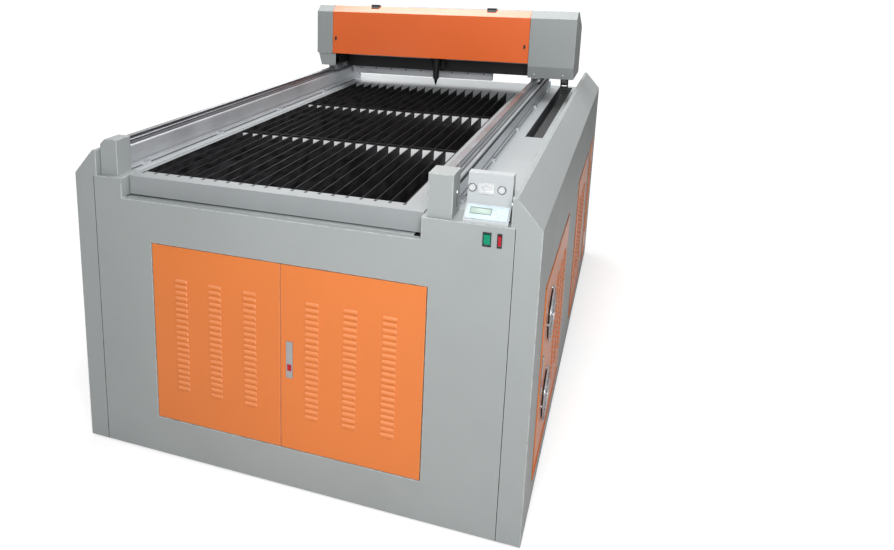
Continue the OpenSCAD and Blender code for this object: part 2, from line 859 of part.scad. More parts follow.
module drag_chain_upper() {
    color(black) chain_run(loop_y - slide_gap - 5 * chain_link, loop_y - slide_gap, chain_top - chain_t);
}

// Gantry

cross_x0 = left_beam_x + 12;
cross_x1 = right_beam_x - 12;
end_plate = 8;
tray_z = bed_h + 49;
tray_h = 40;
tray_w = 40;
tray_x1 = cross_x1 - 0.216 * (cross_x1 - cross_x0);
cover_z = beam_top + 8;
ridge_flat = 70;
back_drop = 88;
skirt_in = 4;

// Top of the cowl from the ridge to the back edge at a given height
function cowl_back(z) = [
    [ridge_y + ridge_flat, ridge_z], [gantry_y1, ridge_z - back_drop], [gantry_y1, z]
];
function cowl_path(low, z) =
    concat(low, [[gantry_y, hood_top], [ridge_y, ridge_z]], cowl_back(z));

module gantry_beam() {
    foot_y0 = gantry_y + skirt_in + sheet;
    foot_y1 = gantry_y1 - skirt_in - sheet;
    wall = 4;
    color(black) {
        along_x(cross_x0, cross_x1) translate([cross_y, cross_z]) difference() {
            square([cross_d, cross_h]);
            translate([wall, wall]) square([cross_d - 2 * wall, cross_h - 2 * wall]);
        }
        for (x = [cross_x0 - end_plate, cross_x1])
            span([x, gantry_y + 71, foot_plate_z], [x + end_plate, foot_y1, hood_top - 60]);
        span([gantry_x0 + 27, foot_y0, foot_plate_z], [cross_x0, foot_y1, foot_plate_z + foot_plate_t]);
        span([cross_x1, gantry_y + 24, foot_plate_z],
             [right_rail_x + 40, gantry_y1 - sheet, foot_plate_z + foot_plate_t]);
    }
}

module cross_rail() {
    color("#9a9fa4") along_x(cross_x0 + 2, cross_x1 - 2)
        translate([cross_y, cross_rail_z]) rotate(90) rail_section(cross_rail_w, cross_rail_w);
}

module rail_blocks() {
    half = rail_w / 2 + 13;
    block_l = 0.2 * gantry_d;
    color("#7f858a")
        for (x = [left_rail_x, right_rail_x], y = [gantry_y + block_l, gantry_y1 - 1.7 * block_l])
            along_y(y, y + block_l) difference() {
                translate([x - half, beam_top + 6]) square([2 * half, foot_plate_z - beam_top - 6]);
                translate([x - rail_w / 2 - slide_gap, beam_top])
                    square([rail_w + 2 * slide_gap, rail_h + slide_gap]);
            }
}

module gantry_left_box() {
    path = cowl_path([[gantry_y, hood_z]], hood_z);
    low = foot_plate_z - 2;
    x1 = hood_x0 + 17;
    skirt = [
        [gantry_x0 + 7, hood_z], [hood_x0 - 2, hood_z], [hood_x0 - 2, hood_z - 3], [x1, hood_z - 3],
        [x1, low], [gantry_x0 + 25, low]
    ];
    color(grey) {
        along_x(gantry_x0, hood_x0) polygon(folded(path, -sheet));
        along_x(gantry_x0, gantry_x0 + sheet) polygon(path);
        for (y = [gantry_y + skirt_in, gantry_y1 - skirt_in - sheet])
            along_y(y, y + sheet) polygon(skirt);
        along_y(gantry_y + skirt_in, gantry_y1 - skirt_in)
            polygon(folded([skirt[5], skirt[0]], -sheet));
        // ceiling of the skirt, which the box stands on
        span([gantry_x0 + 7, gantry_y, hood_z - sheet], [hood_x0 - 2, gantry_y1, hood_z]);
    }
}

module gantry_right_box() {
    path = cowl_path([[gantry_y + 17, right_box_z], [gantry_y, right_box_z + 58]], right_box_z);
    color(grey) {
        along_x(hood_x1, gantry_x1) polygon(folded(path, -sheet));
        along_x(gantry_x1 - sheet, gantry_x1) polygon(path);
        // floor over the chain slot, which carries the end of the chain
        span([slot_x - 3, loop_y - 6 * chain_link, right_box_z],
             [gantry_x1, gantry_y1, right_box_z + sheet]);
    }
}

hinges_x = [hood_x0 + 229, hood_x1 - 198];
hinge_half = 22;
hinge_r = 5;
hinge_z = ridge_z + hinge_r + slide_gap;

module hinge_ear() {
    translate([ridge_y, hinge_z]) circle(r = hinge_r);
    polygon([
        [ridge_y, hinge_z + hinge_r], [ridge_y + 16, ridge_z], [ridge_y + 16, ridge_z - sheet],
        [ridge_y + 2, ridge_z - sheet], [ridge_y, hinge_z - hinge_r]
    ]);
}

module gantry_back_cover() {
    color(grey) {
        along_x(hood_x0, hood_x1)
            polygon(folded(concat([[ridge_y + 2, ridge_z]], cowl_back(cover_z)), -sheet));
        for (x = hinges_x) {
            for (side = [x - hinge_half - 4, x + hinge_half + slide_gap])
                along_x(side, side + 4 - slide_gap) hinge_ear();
            translate([x - hinge_half - 4, ridge_y, hinge_z]) rotate([0, 90, 0])
                cylinder(r = pin_r, h = 2 * hinge_half + 8);
        }
    }
}

module chain_tray() {
    y0 = gantry_y1 - tray_w;
    color(steel) along_x(cross_x0, tray_x1) polygon(folded(
        [[y0, tray_z + tray_h], [y0, tray_z], [gantry_y1, tray_z], [gantry_y1, cover_z]], sheet));
}

tube_y = cross_y + cross_d / 2;
tube_z = cross_top + tube_r + 16;

module laser_tube() {
    x0 = cross_x0 + 70;
    x1 = cross_x1 - 40;
    color("lightcyan") translate([0, tube_y, tube_z]) rotate([0, 90, 0]) {
        translate([0, 0, x0]) difference() {
            cylinder(r = tube_r, h = x1 - x0);
            translate([0, 0, 6]) cylinder(r = tube_r - 3, h = x1 - x0 - 12);
        }
        translate([0, 0, x0 + 6]) cylinder(r = 12, h = x1 - x0 - 12);
        translate([0, 0, x0 - 28]) cylinder(r = 15, h = 28);
        translate([0, 0, x1]) cylinder(r = 15, h = 22);
    }
}

module tube_clamps() {
    half = tube_r + 9;
    color("#8f9498")
        for (share = [0.19, 0.76]) let (x = cross_x0 + share * (cross_x1 - cross_x0))
            along_x(x, x + 30) difference() {
                translate([tube_y - half, cross_top]) square([2 * half, tube_z - cross_top + half]);
                translate([tube_y, tube_z]) circle(r = tube_r + slide_gap);
                translate([tube_y - half - 1, tube_z + 4]) square([12, 3]);
            }
}

// Hood

module hood_lid() {
    x0 = hood_x0 + 1.5;
    x1 = hood_x1 - 1.5;
    lip = 18;
    front = [
        [gantry_y + lip, hood_z], [gantry_y, hood_z], [gantry_y, hood_top], [ridge_y, ridge_z]
    ];
    color(deep_orange) {
        along_x(x0, x1) polygon(folded(front, -sheet));
        for (x = [x0, x1 - sheet])
            along_x(x, x + sheet) polygon(concat(front, [[gantry_y + lip, hood_top - 6]]));
    }
}

module hood_fittings() {
    slope = unit([-hood_slope_y, -hood_slope_z]);
    out = -left_of(slope);
    top = [ridge_y, ridge_z];
    color(black) {
        for (x = hinges_x)
            along_x(x - hinge_half, x + hinge_half) difference() {
                union() {
                    translate([ridge_y, hinge_z]) circle(r = hinge_r);
                    polygon([top, top + 18 * slope, top + 18 * slope + 2 * out, top + 4 * out]);
                }
                translate([ridge_y, hinge_z]) circle(r = pin_r + pin_play);
            }
        for (x = [hood_x0 + 20, hood_x1 - 22])
            translate([x, 0, hood_z + 81]) along_y(gantry_y - 4, gantry_y) {
                for (z = [-5, 5])
                    translate([0, z]) circle(r = 5);
                square(10, center = true);
            }
    }
}

// Laser head

module head_carriage() {
    rail_face = cross_y - cross_rail_w;
    plate_y = rail_face - 13;
    ring_z = cross_z + 38;
    color("#2b2c30") {
        along_x(head_x - 40, head_x + 40) difference() {
            translate([plate_y - 1, cross_rail_z - 24]) square([cross_y - 1 - plate_y, 48]);
            translate([rail_face - slide_gap, cross_rail_z - cross_rail_w / 2 - slide_gap])
                square([cross_rail_w + 3, cross_rail_w + 2 * slide_gap]);
        }
        span([head_x - 40, plate_y - 8, cross_z + 20], [head_x + 40, plate_y, cross_z + 226]);
        difference() {
            union() {
                translate([head_x, head_y, ring_z]) cylinder(r = lens_r + 9, h = 40);
                span([head_x - 18, head_y, ring_z], [head_x + 18, plate_y - 7, ring_z + 40]);
            }
            translate([head_x, head_y, ring_z - 1]) cylinder(r = lens_r + pin_play, h = 42);
        }
        difference() {
            span([head_x - 22, head_y - 22, cross_z + 184], [head_x + 22, plate_y - 7, cross_z + 226]);
            translate([head_x - 23, head_y, cross_z + 205]) rotate([0, 90, 0]) cylinder(r = 8, h = 46);
        }
    }
}

module lens_tube() {
    cone_h = 34;
    color(black) translate([head_x, head_y, nozzle_z]) difference() {
        union() {
            cylinder(r1 = 2.5, r2 = 11, h = cone_h);
            translate([0, 0, cone_h]) cylinder(r = lens_r, h = cross_z + 168 - nozzle_z - cone_h);
        }
        translate([0, 0, -1]) cylinder(r = 1, h = cone_h);
    }
}

// Doors, latches and fans

front_door_w = doors_w / 2 - 1.5 * door_gap;
front_door_h = doors_h - 2 * door_gap;
side_door_h = side_doors_h - 2 * door_gap;

module front_left_door() {
    color(orange) translate([doors_x + door_gap, 0, doors_z + door_gap])
        pan_door(front_door_w, front_door_h, pin_in,
                 louvre_columns(front_door_w, 3, louvre_share), louvre_z(front_door_h));
}

front_right_x = doors_x + doors_w / 2 + door_gap / 2;

module front_right_door() {
    color(orange) translate([front_right_x, 0, doors_z + door_gap])
        pan_door(front_door_w, front_door_h, front_door_w - pin_in,
                 louvre_columns(front_door_w, 3, louvre_share), louvre_z(front_door_h));
}

latch_w = 22;
latch_h = 123;
latch_out = 3.6;
latch_button = [14, 22];
latch_button_z = -26;

module latch() {
    color("silver") difference() {
        span([-latch_w / 2, -latch_out, -latch_h / 2], [latch_w / 2, 0, latch_h / 2]);
        translate([-latch_button[0] / 2, -latch_out - 1, latch_button_z - latch_button[1] / 2])
            cube([latch_button[0], latch_out, latch_button[1]]);
    }
}

module latch_push() {
    play = 0.3;
    color("#c8323c")
        span([-latch_button[0] / 2 + play, -latch_out - 1, latch_button_z - latch_button[1] / 2 + play],
             [latch_button[0] / 2 - play, -latch_out + 1, latch_button_z + latch_button[1] / 2 - play]);
}

front_latch_at = [front_right_x + 30, 0, doors_z + doors_h / 2];

module front_latch() {
    translate(front_latch_at) latch();
}

module front_latch_button() {
    translate(front_latch_at) latch_push();
}

side_latch_at = [66, 0, 0.512 * side_doors_h];

module side_latch() {
    on_side(side_door_1_y) translate(side_latch_at) latch();
}

module side_latch_button() {
    on_side(side_door_1_y) translate(side_latch_at) latch_push();
}

fans = [[fan_in_y, side_doors_h * (1 - fan_share)], [fan_in_y, side_doors_h * fan_share]];
fan_in = guard_r - 8;
fan_d = 40;

// Carries a shape drawn round +Z, outwards, onto the first side door at a fan's centre
module at_fan(f) {
    on_side(side_door_1_y) translate([f[0], 0, f[1]]) rotate([90, 0, 0]) children();
}

module side_door(y, w, columns) {
    color(orange) on_side(y) translate([door_gap, 0, door_gap])
        pan_door(w - 2 * door_gap, side_door_h, w - 2 * door_gap - pin_in, columns, louvre_z(side_door_h));
}

module side_door_front() {
    free = fan_in_y + guard_r;
    columns = [for (share = [0.24, 0.495, 0.75]) free + share * (side_door_1_w - free)];
    color(orange) difference() {
        side_door(side_door_1_y, side_door_1_w, columns);
        for (f = fans)
            at_fan(f) translate([0, 0, -sheet - 1]) cylinder(r = fan_in, h = sheet + 2);
    }
}

module side_door_middle() {
    side_door(side_door_2_y, side_door_2_w, louvre_columns(side_door_2_w - 2 * door_gap, 3, 0.2));
}

module side_door_rear() {
    side_door(side_door_3_y, side_door_3_w, louvre_columns(side_door_3_w - 2 * door_gap, 1, 0));
}

shaft_r = 4;

module fan_frames() {
    color(black)
        for (f = fans)
            at_fan(f) translate([0, 0, -sheet - fan_d]) {
                difference() {
                    cylinder(r = guard_r - 2, h = fan_d);
                    translate([0, 0, -1]) cylinder(r = fan_in, h = fan_d + 2);
                }
                cylinder(r = 30, h = 4);
                for (a = [45, 135])
                    rotate(a) translate([-fan_in - 1, -4, 0]) cube([2 * fan_in + 2, 8, 4]);
                cylinder(r = shaft_r, h = fan_d - 8);
            }
}

module fan_rotor(f) {
    color("#2b2c30") at_fan(f) translate([0, 0, -sheet - fan_d + 5]) difference() {
        union() {
            cylinder(r = 28, h = fan_d - 10);
            intersection() {
                for (a = [0 : 72 : 359])
                    rotate(a) translate([0, 0, (fan_d - 10) / 2]) rotate([32, 0, 0])
                        span([22, -22, -1.2], [fan_in - 3, 22, 1.2]);
                cylinder(r = fan_in - 4, h = fan_d - 10);
            }
        }
        translate([0, 0, -1]) cylinder(r = shaft_r + pin_play, h = fan_d - 12);
    }
}

module upper_fan_rotor() {
    fan_rotor(fans[0]);
}

module lower_fan_rotor() {
    fan_rotor(fans[1]);
}

wire = 1.5;

module fan_guards() {
    color("silver")
        for (f = fans)
            at_fan(f) {
                for (r = [0.28, 0.52, 0.76, 1])
                    translate([0, 0, guard_out - wire]) rotate_extrude()
                        translate([r * guard_r - wire, 0]) circle(r = wire, $fn = 16);
                for (a = [0 : 90 : 359])
                    rotate(a) {
                        translate([0.2 * guard_r, 0, guard_out - wire]) rotate([0, 90, 0])
                            cylinder(r = wire, h = 0.8 * guard_r - wire);
                        translate([guard_r - wire, 0, 0]) cylinder(r = wire, h = guard_out - wire);
                        translate([guard_r - wire, 0, 0]) cylinder(r = 6, h = 2);
                    }
            }
}

// Placement

translate(place) base_frame();
translate(place) levelling_feet();
translate(place) front_panel();
translate(place) left_side_panel();
translate(place) right_side_panel();
translate(place) rear_panel();
translate(place) exhaust_spigot();
translate(place) deck();
translate(place) chain_trough();
translate(place) waste_tray();
translate(place) power_supply();
translate(place) table_frame();
translate(place) slat_supports();
translate(place) slats();
translate(place) left_beam();
translate(place) right_beam();
translate(place) side_rails();
translate(place) beam_clamps();
translate(place) drive_belts();
translate(place) left_post_cover();
translate(place) right_post_cover();
translate(place) control_box();
translate(place) meter();
translate(place) keypad();
translate(place) button_rings();
translate(place) left_button();
translate(place) right_button();
translate(place) switch_bezels();
translate(place) main_rocker();
translate(place) laser_rocker();
translate(place) limit_switch();
translate(place) drag_chain_lower();
translate(place) drag_chain_loop();
translate(place) drag_chain_upper();
translate(place) gantry_beam();
translate(place) cross_rail();
translate(place) rail_blocks();
translate(place) gantry_left_box();
translate(place) gantry_right_box();
translate(place) gantry_back_cover();
translate(place) chain_tray();
translate(place) laser_tube();
translate(place) tube_clamps();
translate(place) hood_lid();
translate(place) hood_fittings();
translate(place) head_carriage();
translate(place) lens_tube();
translate(place) front_left_door();
translate(place) front_right_door();
translate(place) front_latch();
translate(place) front_latch_button();
translate(place) side_door_front();
translate(place) side_door_middle();
translate(place) side_door_rear();
translate(place) side_latch();
translate(place) side_latch_button();
translate(place) fan_frames();
translate(place) fan_guards();
translate(place) upper_fan_rotor();
translate(place) lower_fan_rotor();
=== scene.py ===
"""Finishes a flatbed laser cutting machine.

Paints its parts and adds fasteners, dial, keypad, chain links and a stage.
"""
import json
import math

import bpy
from bpy.props import FloatProperty, FloatVectorProperty, IntProperty, PointerProperty
from mathutils import Matrix, Vector


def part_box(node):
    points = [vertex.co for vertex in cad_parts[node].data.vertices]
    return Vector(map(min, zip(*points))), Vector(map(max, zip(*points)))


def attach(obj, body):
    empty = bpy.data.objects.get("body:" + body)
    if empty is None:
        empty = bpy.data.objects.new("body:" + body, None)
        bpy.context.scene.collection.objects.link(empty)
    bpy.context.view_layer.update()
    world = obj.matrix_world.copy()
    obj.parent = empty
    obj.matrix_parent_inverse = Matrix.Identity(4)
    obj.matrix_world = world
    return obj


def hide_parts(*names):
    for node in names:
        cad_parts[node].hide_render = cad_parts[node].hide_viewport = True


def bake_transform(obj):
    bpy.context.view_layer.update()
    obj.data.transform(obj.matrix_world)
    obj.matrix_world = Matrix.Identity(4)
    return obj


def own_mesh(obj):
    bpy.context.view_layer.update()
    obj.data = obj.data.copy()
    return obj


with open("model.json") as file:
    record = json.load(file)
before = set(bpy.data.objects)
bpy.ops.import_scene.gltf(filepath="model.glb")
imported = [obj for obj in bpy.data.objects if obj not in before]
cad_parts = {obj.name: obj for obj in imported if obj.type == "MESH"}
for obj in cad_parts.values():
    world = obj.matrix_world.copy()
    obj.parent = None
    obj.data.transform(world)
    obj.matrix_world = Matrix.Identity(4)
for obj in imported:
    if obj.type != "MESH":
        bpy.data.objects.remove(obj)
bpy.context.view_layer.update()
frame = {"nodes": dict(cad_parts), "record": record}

bl_info = {
    "name": "Flatbed laser cutter finish",
    "version": (1, 0, 0),
    "blender": (4, 5, 0),
    "location": "View3D > Sidebar > Laser cutter",
    "description": "Paints the laser cutter and adds its fasteners, dial, keypad and chain links",
    "category": "Object",
}

MM = 0.001
X, Y, Z = Vector((1, 0, 0)), Vector((0, 1, 0)), Vector((0, 0, 1))

# kinds of shader socket
COLOUR, VALUE, VECTOR = "NodeSocketColor", "NodeSocketFloat", "NodeSocketVector"
# the range in which most of a noise texture's values lie
NOISE_LOW, NOISE_HIGH = 0.3, 0.7
MID_GREY, WHITE, SOOT = (0.5, 0.5, 0.5, 1), (1, 1, 1, 1), (0.012, 0.012, 0.0125, 1)
# edges sharper than this turn of the surface stay sharp in the shading
SMOOTH_ANGLE = math.radians(32)
# a thin strip on a face: how deep it is let in, and the width of its softened edges
INLAY, CRISP = 1 * MM, 0.1 * MM


# Properties

def colour(label, text, rgb):
    return FloatVectorProperty(
        name=label, description=text, subtype="COLOR", size=3, min=0, max=1, default=rgb)


def length(label, text, value):
    return FloatProperty(
        name=label, description=text, subtype="DISTANCE", unit="LENGTH", min=0, default=value)


def angle(label, text, value):
    return FloatProperty(name=label, description=text, subtype="ANGLE", default=value)


class LASER_PG_colours(bpy.types.PropertyGroup):
    """Colours of the paints and plastics, as linear light"""
    grey: colour("Body grey", "Powder coat of the cabinet and the gantry's boxes", (0.33, 0.353, 0.353))
    pale: colour("Pale grey", "Powder coat of the deck and the bed table", (0.4, 0.425, 0.435))
    dark: colour("Frame grey", "Paint of the welded frame inside", (0.1, 0.11, 0.115))
    door: colour("Door orange", "Powder coat of the doors", (0.71, 0.195, 0.043))
    hood: colour("Hood orange", "Gloss paint of the gantry's hood", (0.86, 0.155, 0.032))
    black: colour("Black", "Black plastic and anodised metal", (0.012, 0.012, 0.014))
    silver: colour("Silver", "Bare aluminium", (0.62, 0.64, 0.67))
    steel: colour("Steel", "Ground steel of the rails", (0.3, 0.31, 0.33))
    slat: colour("Slat", "Scorched steel of the blade slats", (0.018, 0.0175, 0.019))
    red: colour("Red", "Red plastic of the switch and the latch buttons", (0.46, 0.012, 0.025))
    green: colour("Green", "Green plastic of the main switch", (0.0, 0.24, 0.125))
    white: colour("White", "White plastic of the meter and the buttons", (0.6, 0.62, 0.63))
    keypad: colour("Keypad", "Pale plastic of the keypad and the limit switch", (0.54, 0.65, 0.715))
    display: colour("Display", "Liquid crystal display of the keypad", (0.45, 0.56, 0.5))


class LASER_PG_sizes(bpy.types.PropertyGroup):
    """Sizes of the small pieces"""
    rail_bolt: length("Rail bolt", "Radius of the bolt heads in the rails", 5 * MM)
    bolt_pitch: length("Rail bolt pitch", "Distance from one rail bolt to the next", 60 * MM)
    screw: length("Screw", "Radius of the screw heads on the covers", 4.5 * MM)
    seam: length("Seam", "Width of the joints between the cabinet's panels", 2.2 * MM)
    chain_pitch: length("Chain pitch", "Length of one drag chain link", 18 * MM)
    upper_links: IntProperty(name="Upper links", description="Links drawn in the upper run of the chain",
                             default=52, min=8, max=80)


class LASER_PG_stage(bpy.types.PropertyGroup):
    """Camera and light"""
    camera: FloatVectorProperty(
        name="Camera", description="Camera position", subtype="TRANSLATION", size=3,
        default=(0.93366, -3.35978, 1.6645))
    yaw: angle("Yaw", "Turn of the camera to the left", 0.37595)
    pitch: angle("Pitch", "Tilt of the camera downwards", 0.23146)
    roll: angle("Roll", "Roll of the camera", 0.00834)
    lens: FloatProperty(name="Lens", description="Focal length on a 36 mm sensor", default=31.909, min=1)
    shift: FloatVectorProperty(name="Shift", description="Camera shift to the right and up", size=2,
                               default=(0.13653, -0.14542))
    fill: FloatProperty(
        name="Fill", description="Strength of the light from all round", default=0.19, min=0)


def colours():
    return bpy.context.scene.laser_colours


def sizes():
    return bpy.context.scene.laser_sizes


def stage_settings():
    return bpy.context.scene.laser_stage


# Shader graphs

class Graph:
    """Adds nodes to a shader tree from left to right and links them."""

    def __init__(self, tree):
        self.tree = tree

    def add(self, kind, sockets=None, **settings):
        node = self.tree.nodes.new(kind)
        node.location = (len(self.tree.nodes) * 180, 0)
        for key, value in settings.items():
            setattr(node, key, value)
        for key, value in (sockets or {}).items():
            self.feed(node.inputs[key], value)
        return node

    def feed(self, socket, value):
        if isinstance(value, bpy.types.NodeSocket):
            self.tree.links.new(value, socket)
        else:
            socket.default_value = value

    def math(self, operation, a, b=0.0):
        return self.add("ShaderNodeMath", {0: a, 1: b}, operation=operation).outputs[0]

    def mix(self, factor, a, b, blend="MIX"):
        node = self.add("ShaderNodeMix", {0: factor, 6: a, 7: b}, data_type="RGBA", blend_type=blend)
        return node.outputs[2]

    def spread(self, value, low, high, to_low=0.0, to_high=1.0):
        sockets = {"Value": value, "From Min": low, "From Max": high,
                   "To Min": to_low, "To Max": to_high}
        return self.add("ShaderNodeMapRange", sockets).outputs["Result"]

    def place(self, scale=(1, 1, 1)):
        coords = self.add("ShaderNodeTexCoord").outputs["Object"]
        return self.add("ShaderNodeMapping", {"Vector": coords, "Scale": scale}).outputs[0]

    def noise(self, vector, scale, detail=2.0):
        sockets = {"Vector": vector, "Scale": scale, "Detail": detail}
        return self.add("ShaderNodeTexNoise", sockets).outputs["Fac"]

    def vary(self, noise, low, high):
        """Spreads a noise between two ends."""
        return self.spread(noise, NOISE_LOW, NOISE_HIGH, low, high)

    def grey(self, value):
        """A grey colour of the given value."""
        return self.add("ShaderNodeCombineColor", {k: value for k in range(3)}).outputs[0]

    def axes(self, vector):
        """A vector's parts along X, Y and Z."""
        return self.add("ShaderNodeSeparateXYZ", {0: vector}).outputs

    def surface_normal(self):
        return self.add("ShaderNodeNewGeometry").outputs["Normal"]

    def surface(self, kind, shade):
        """Sends a shader to the tree's output."""
        self.feed(self.add(kind).inputs["Surface"], shade)


def rgba(rgb, factor=1.0):
    return (*[min(1.0, c * factor) for c in rgb], 1.0)


def new_group(name, inputs, outputs):
    """An empty shader node group with named sockets, and its input and output nodes."""
    tree = bpy.data.node_groups.new(name, "ShaderNodeTree")
    for socket, kind, value in inputs:
        made = tree.interface.new_socket(name=socket, in_out="INPUT", socket_type=kind)
        made.default_value = value
    for socket, kind in outputs:
        tree.interface.new_socket(name=socket, in_out="OUTPUT", socket_type=kind)
    graph = Graph(tree)
    return graph, graph.add("NodeGroupInput").outputs, graph.add("NodeGroupOutput").inputs


def empty_graph(owner):
    """The cleared shader tree of a new material or world."""
    owner.use_nodes = True
    owner.node_tree.nodes.clear()
    return Graph(owner.node_tree)


def build_powder_coat(name):
    """Cloudy tone, smudged gloss and a fine peel, as on sprayed and baked paint."""
    graph, given, result = new_group(
        name,
        [("Colour", COLOUR, MID_GREY), ("Roughness", VALUE, 0.4), ("Soil", VALUE, 0.06)],
        [("Colour", COLOUR), ("Roughness", VALUE), ("Height", VALUE)])
    place = graph.place()
    cloud = graph.noise(place, scale=2.4, detail=4.0)
    smudge = graph.noise(graph.place(scale=(1, 1, 0.35)), scale=14.0, detail=5.0)
    shade = graph.math("MULTIPLY", graph.vary(cloud, -1.0, 0.6), given["Soil"])
    tone = graph.grey(graph.math("ADD", 1.0, shade))
    graph.feed(result["Colour"], graph.mix(1.0, given["Colour"], tone, "MULTIPLY"))
    graph.feed(result["Roughness"], graph.math(
        "ADD", given["Roughness"], graph.spread(smudge, 0.35, 0.75, -0.02, 0.03)))
    graph.feed(result["Height"], graph.noise(place, scale=700.0))
    return graph.tree


def build_edges(name):
    """A mask of outer edges, used both as wear and as a painted highlight, and a normal that rounds them
    off.
    """
    graph, given, result = new_group(
        name, [("Radius", VALUE, 0.0012)], [("Wear and highlight", VALUE), ("Normal", VECTOR)])
    rounded = graph.add("ShaderNodeBevel", {"Radius": given["Radius"]}, samples=4).outputs[0]
    match = graph.add(
        "ShaderNodeVectorMath", {0: rounded, 1: graph.surface_normal()}, operation="DOT_PRODUCT")
    edge = graph.spread(match.outputs["Value"], 0.985, 0.86)
    patches = graph.spread(graph.noise(graph.place(), scale=45.0, detail=4.0), 0.3, 0.55)
    graph.feed(result["Wear and highlight"], graph.math("MULTIPLY", edge, patches))
    graph.feed(result["Normal"], rounded)
    return graph.tree


def build_brushed(name):
    """Fine lines along one direction, as left by drawing, grinding or extrusion."""
    graph, given, result = new_group(
        name,
        [("Colour", COLOUR, MID_GREY), ("Stretch", VECTOR, (1, 0.01, 1)), ("Roughness", VALUE, 0.3)],
        [("Colour", COLOUR), ("Roughness", VALUE), ("Height", VALUE)])
    coords = graph.add("ShaderNodeTexCoord").outputs["Object"]
    along = graph.add("ShaderNodeVectorMath", {0: coords, 1: given["Stretch"]}, operation="MULTIPLY")
    lines = graph.noise(along.outputs[0], scale=900.0, detail=3.0)
    patch = graph.noise(coords, scale=7.0, detail=4.0)
    tone = graph.math("ADD", graph.vary(lines, 0.86, 1.04), graph.vary(patch, -0.07, 0.05))
    graph.feed(result["Colour"], graph.mix(1.0, given["Colour"], graph.grey(tone), "MULTIPLY"))
    graph.feed(result["Roughness"], graph.math(
        "ADD", given["Roughness"], graph.spread(patch, 0.3, 0.75, -0.06, 0.1)))
    graph.feed(result["Height"], lines)
    return graph.tree


def shader(name, **constants):
    """A new material with a Principled shader whose constant sockets are set."""
    material = bpy.data.materials.new(name)
    graph = empty_graph(material)
    sockets = {key.replace("_", " "): value for key, value in constants.items()}
    bsdf = graph.add("ShaderNodeBsdfPrincipled", sockets)
    graph.surface("ShaderNodeOutputMaterial", bsdf.outputs[0])
    return material, graph, bsdf


def placed_group(graph, name, build, sockets):
    """The outputs of a shared node group, built on first use and placed with its own values."""
    tree = bpy.data.node_groups.get(name) or build(name)
    return graph.add("ShaderNodeGroup", sockets, node_tree=tree).outputs


def worn_and_highlit_edges(graph, radius):
    return placed_group(graph, "Worn and highlit edges", build_edges, {"Radius": radius})


def relief(graph, bsdf, height, strength, depth, normal=None):
    """Raises the surface by a height, on top of a normal where one is given."""
    sockets = {"Height": height, "Strength": strength, "Distance": depth}
    if normal is not None:
        sockets["Normal"] = normal
    graph.feed(bsdf.inputs["Normal"], graph.add("ShaderNodeBump", sockets).outputs[0])


def lit_louvres(graph, tint, rgb):
    """Paints highlights on the louvres' rounded ends and upper sides, and paints shade on their lower
    sides.
    """
    across, _, upward = graph.axes(graph.add("ShaderNodeTexCoord").outputs["Normal"])
    upper = graph.spread(upward, 0.2, 0.7, 0.0, 0.28)
    end = graph.spread(across, 0.3, 0.8, 0.0, 0.9)
    tint = graph.mix(graph.math("MAXIMUM", upper, end), tint, (1.0, 0.56, 0.34, 1))
    return graph.mix(graph.spread(upward, -0.2, -0.7, 0.0, 0.6), tint, rgba(rgb, 0.4))


def powder_coat(name, rgb, roughness, coat=0.0, soil=0.06, edge_wear_and_highlight=2.2, radius=0.002, gloss=0.3,
                louvres=False):
    """Sprayed paint over sheet metal, brighter along its folded edges, partly as thinner worn paint and
    partly as a painted highlight.
    """
    material, graph, bsdf = shader(
        name, Coat_Weight=coat, Coat_Roughness=0.12, Specular_IOR_Level=gloss)
    skin = placed_group(graph, "Powder coat", build_powder_coat,
                        {"Colour": rgba(rgb), "Roughness": roughness, "Soil": soil})
    edges = worn_and_highlit_edges(graph, radius)
    # lightens the edges, as worn paint and as a painted highlight
    tint = graph.mix(graph.math("MULTIPLY", edges["Wear and highlight"], 0.75), skin["Colour"], rgba(rgb, edge_wear_and_highlight))
    # the front doors' louvres get painted highlights and painted shade
    if louvres:
        tint = lit_louvres(graph, tint, rgb)
    graph.feed(bsdf.inputs["Base Color"], tint)
    graph.feed(bsdf.inputs["Roughness"], skin["Roughness"])
    relief(graph, bsdf, skin["Height"], strength=0.05, depth=0.4 * MM, normal=edges["Normal"])
    return material


def bare_metal(name, rgb, roughness, stretch, metallic=1.0, top=1.0):
    """Drawn, ground or extruded metal with fine lines along it, darker on its upward faces."""
    material, graph, bsdf = shader(name, Metallic=metallic)
    skin = placed_group(graph, "Brushed lines", build_brushed,
                        {"Colour": rgba(rgb), "Stretch": stretch, "Roughness": roughness})
    edges = worn_and_highlit_edges(graph, radius=0.8 * MM)
    tint = graph.mix(graph.math("MULTIPLY", edges["Wear and highlight"], 0.5), skin["Colour"], rgba(rgb, 1.5))
    # upward faces are darkened by the factor top
    upward = graph.spread(graph.axes(graph.surface_normal())["Z"], 0.6, 0.9)
    darker_top = graph.mix(1.0, tint, rgba((top,) * 3), "MULTIPLY")
    graph.feed(bsdf.inputs["Base Color"], graph.mix(upward, tint, darker_top))
    graph.feed(bsdf.inputs["Roughness"], skin["Roughness"])
    relief(graph, bsdf, skin["Height"], strength=0.06, depth=0.2 * MM, normal=edges["Normal"])
    return material


def moulded(name, rgb, roughness, grain=1800.0, coat=0.0, bump=0.05, gloss=0.5):
    """Moulded plastic or rubber with a fine grain."""
    material, graph, bsdf = shader(
        name, Coat_Weight=coat, Coat_Roughness=0.06, Specular_IOR_Level=gloss)
    place = graph.place()
    tone = graph.vary(graph.noise(place, scale=30.0, detail=3.0), 0.0, 1.0)
    graph.feed(bsdf.inputs["Base Color"], graph.mix(tone, rgba(rgb, 0.9), rgba(rgb, 1.06)))
    smudge = graph.noise(place, scale=80.0, detail=3.0)
    graph.feed(bsdf.inputs["Roughness"], graph.vary(smudge, roughness - 0.04, roughness + 0.06))
    edges = worn_and_highlit_edges(graph, radius=0.6 * MM)
    fine = graph.noise(place, grain)
    relief(graph, bsdf, fine, strength=bump, depth=0.2 * MM, normal=edges["Normal"])
    return material


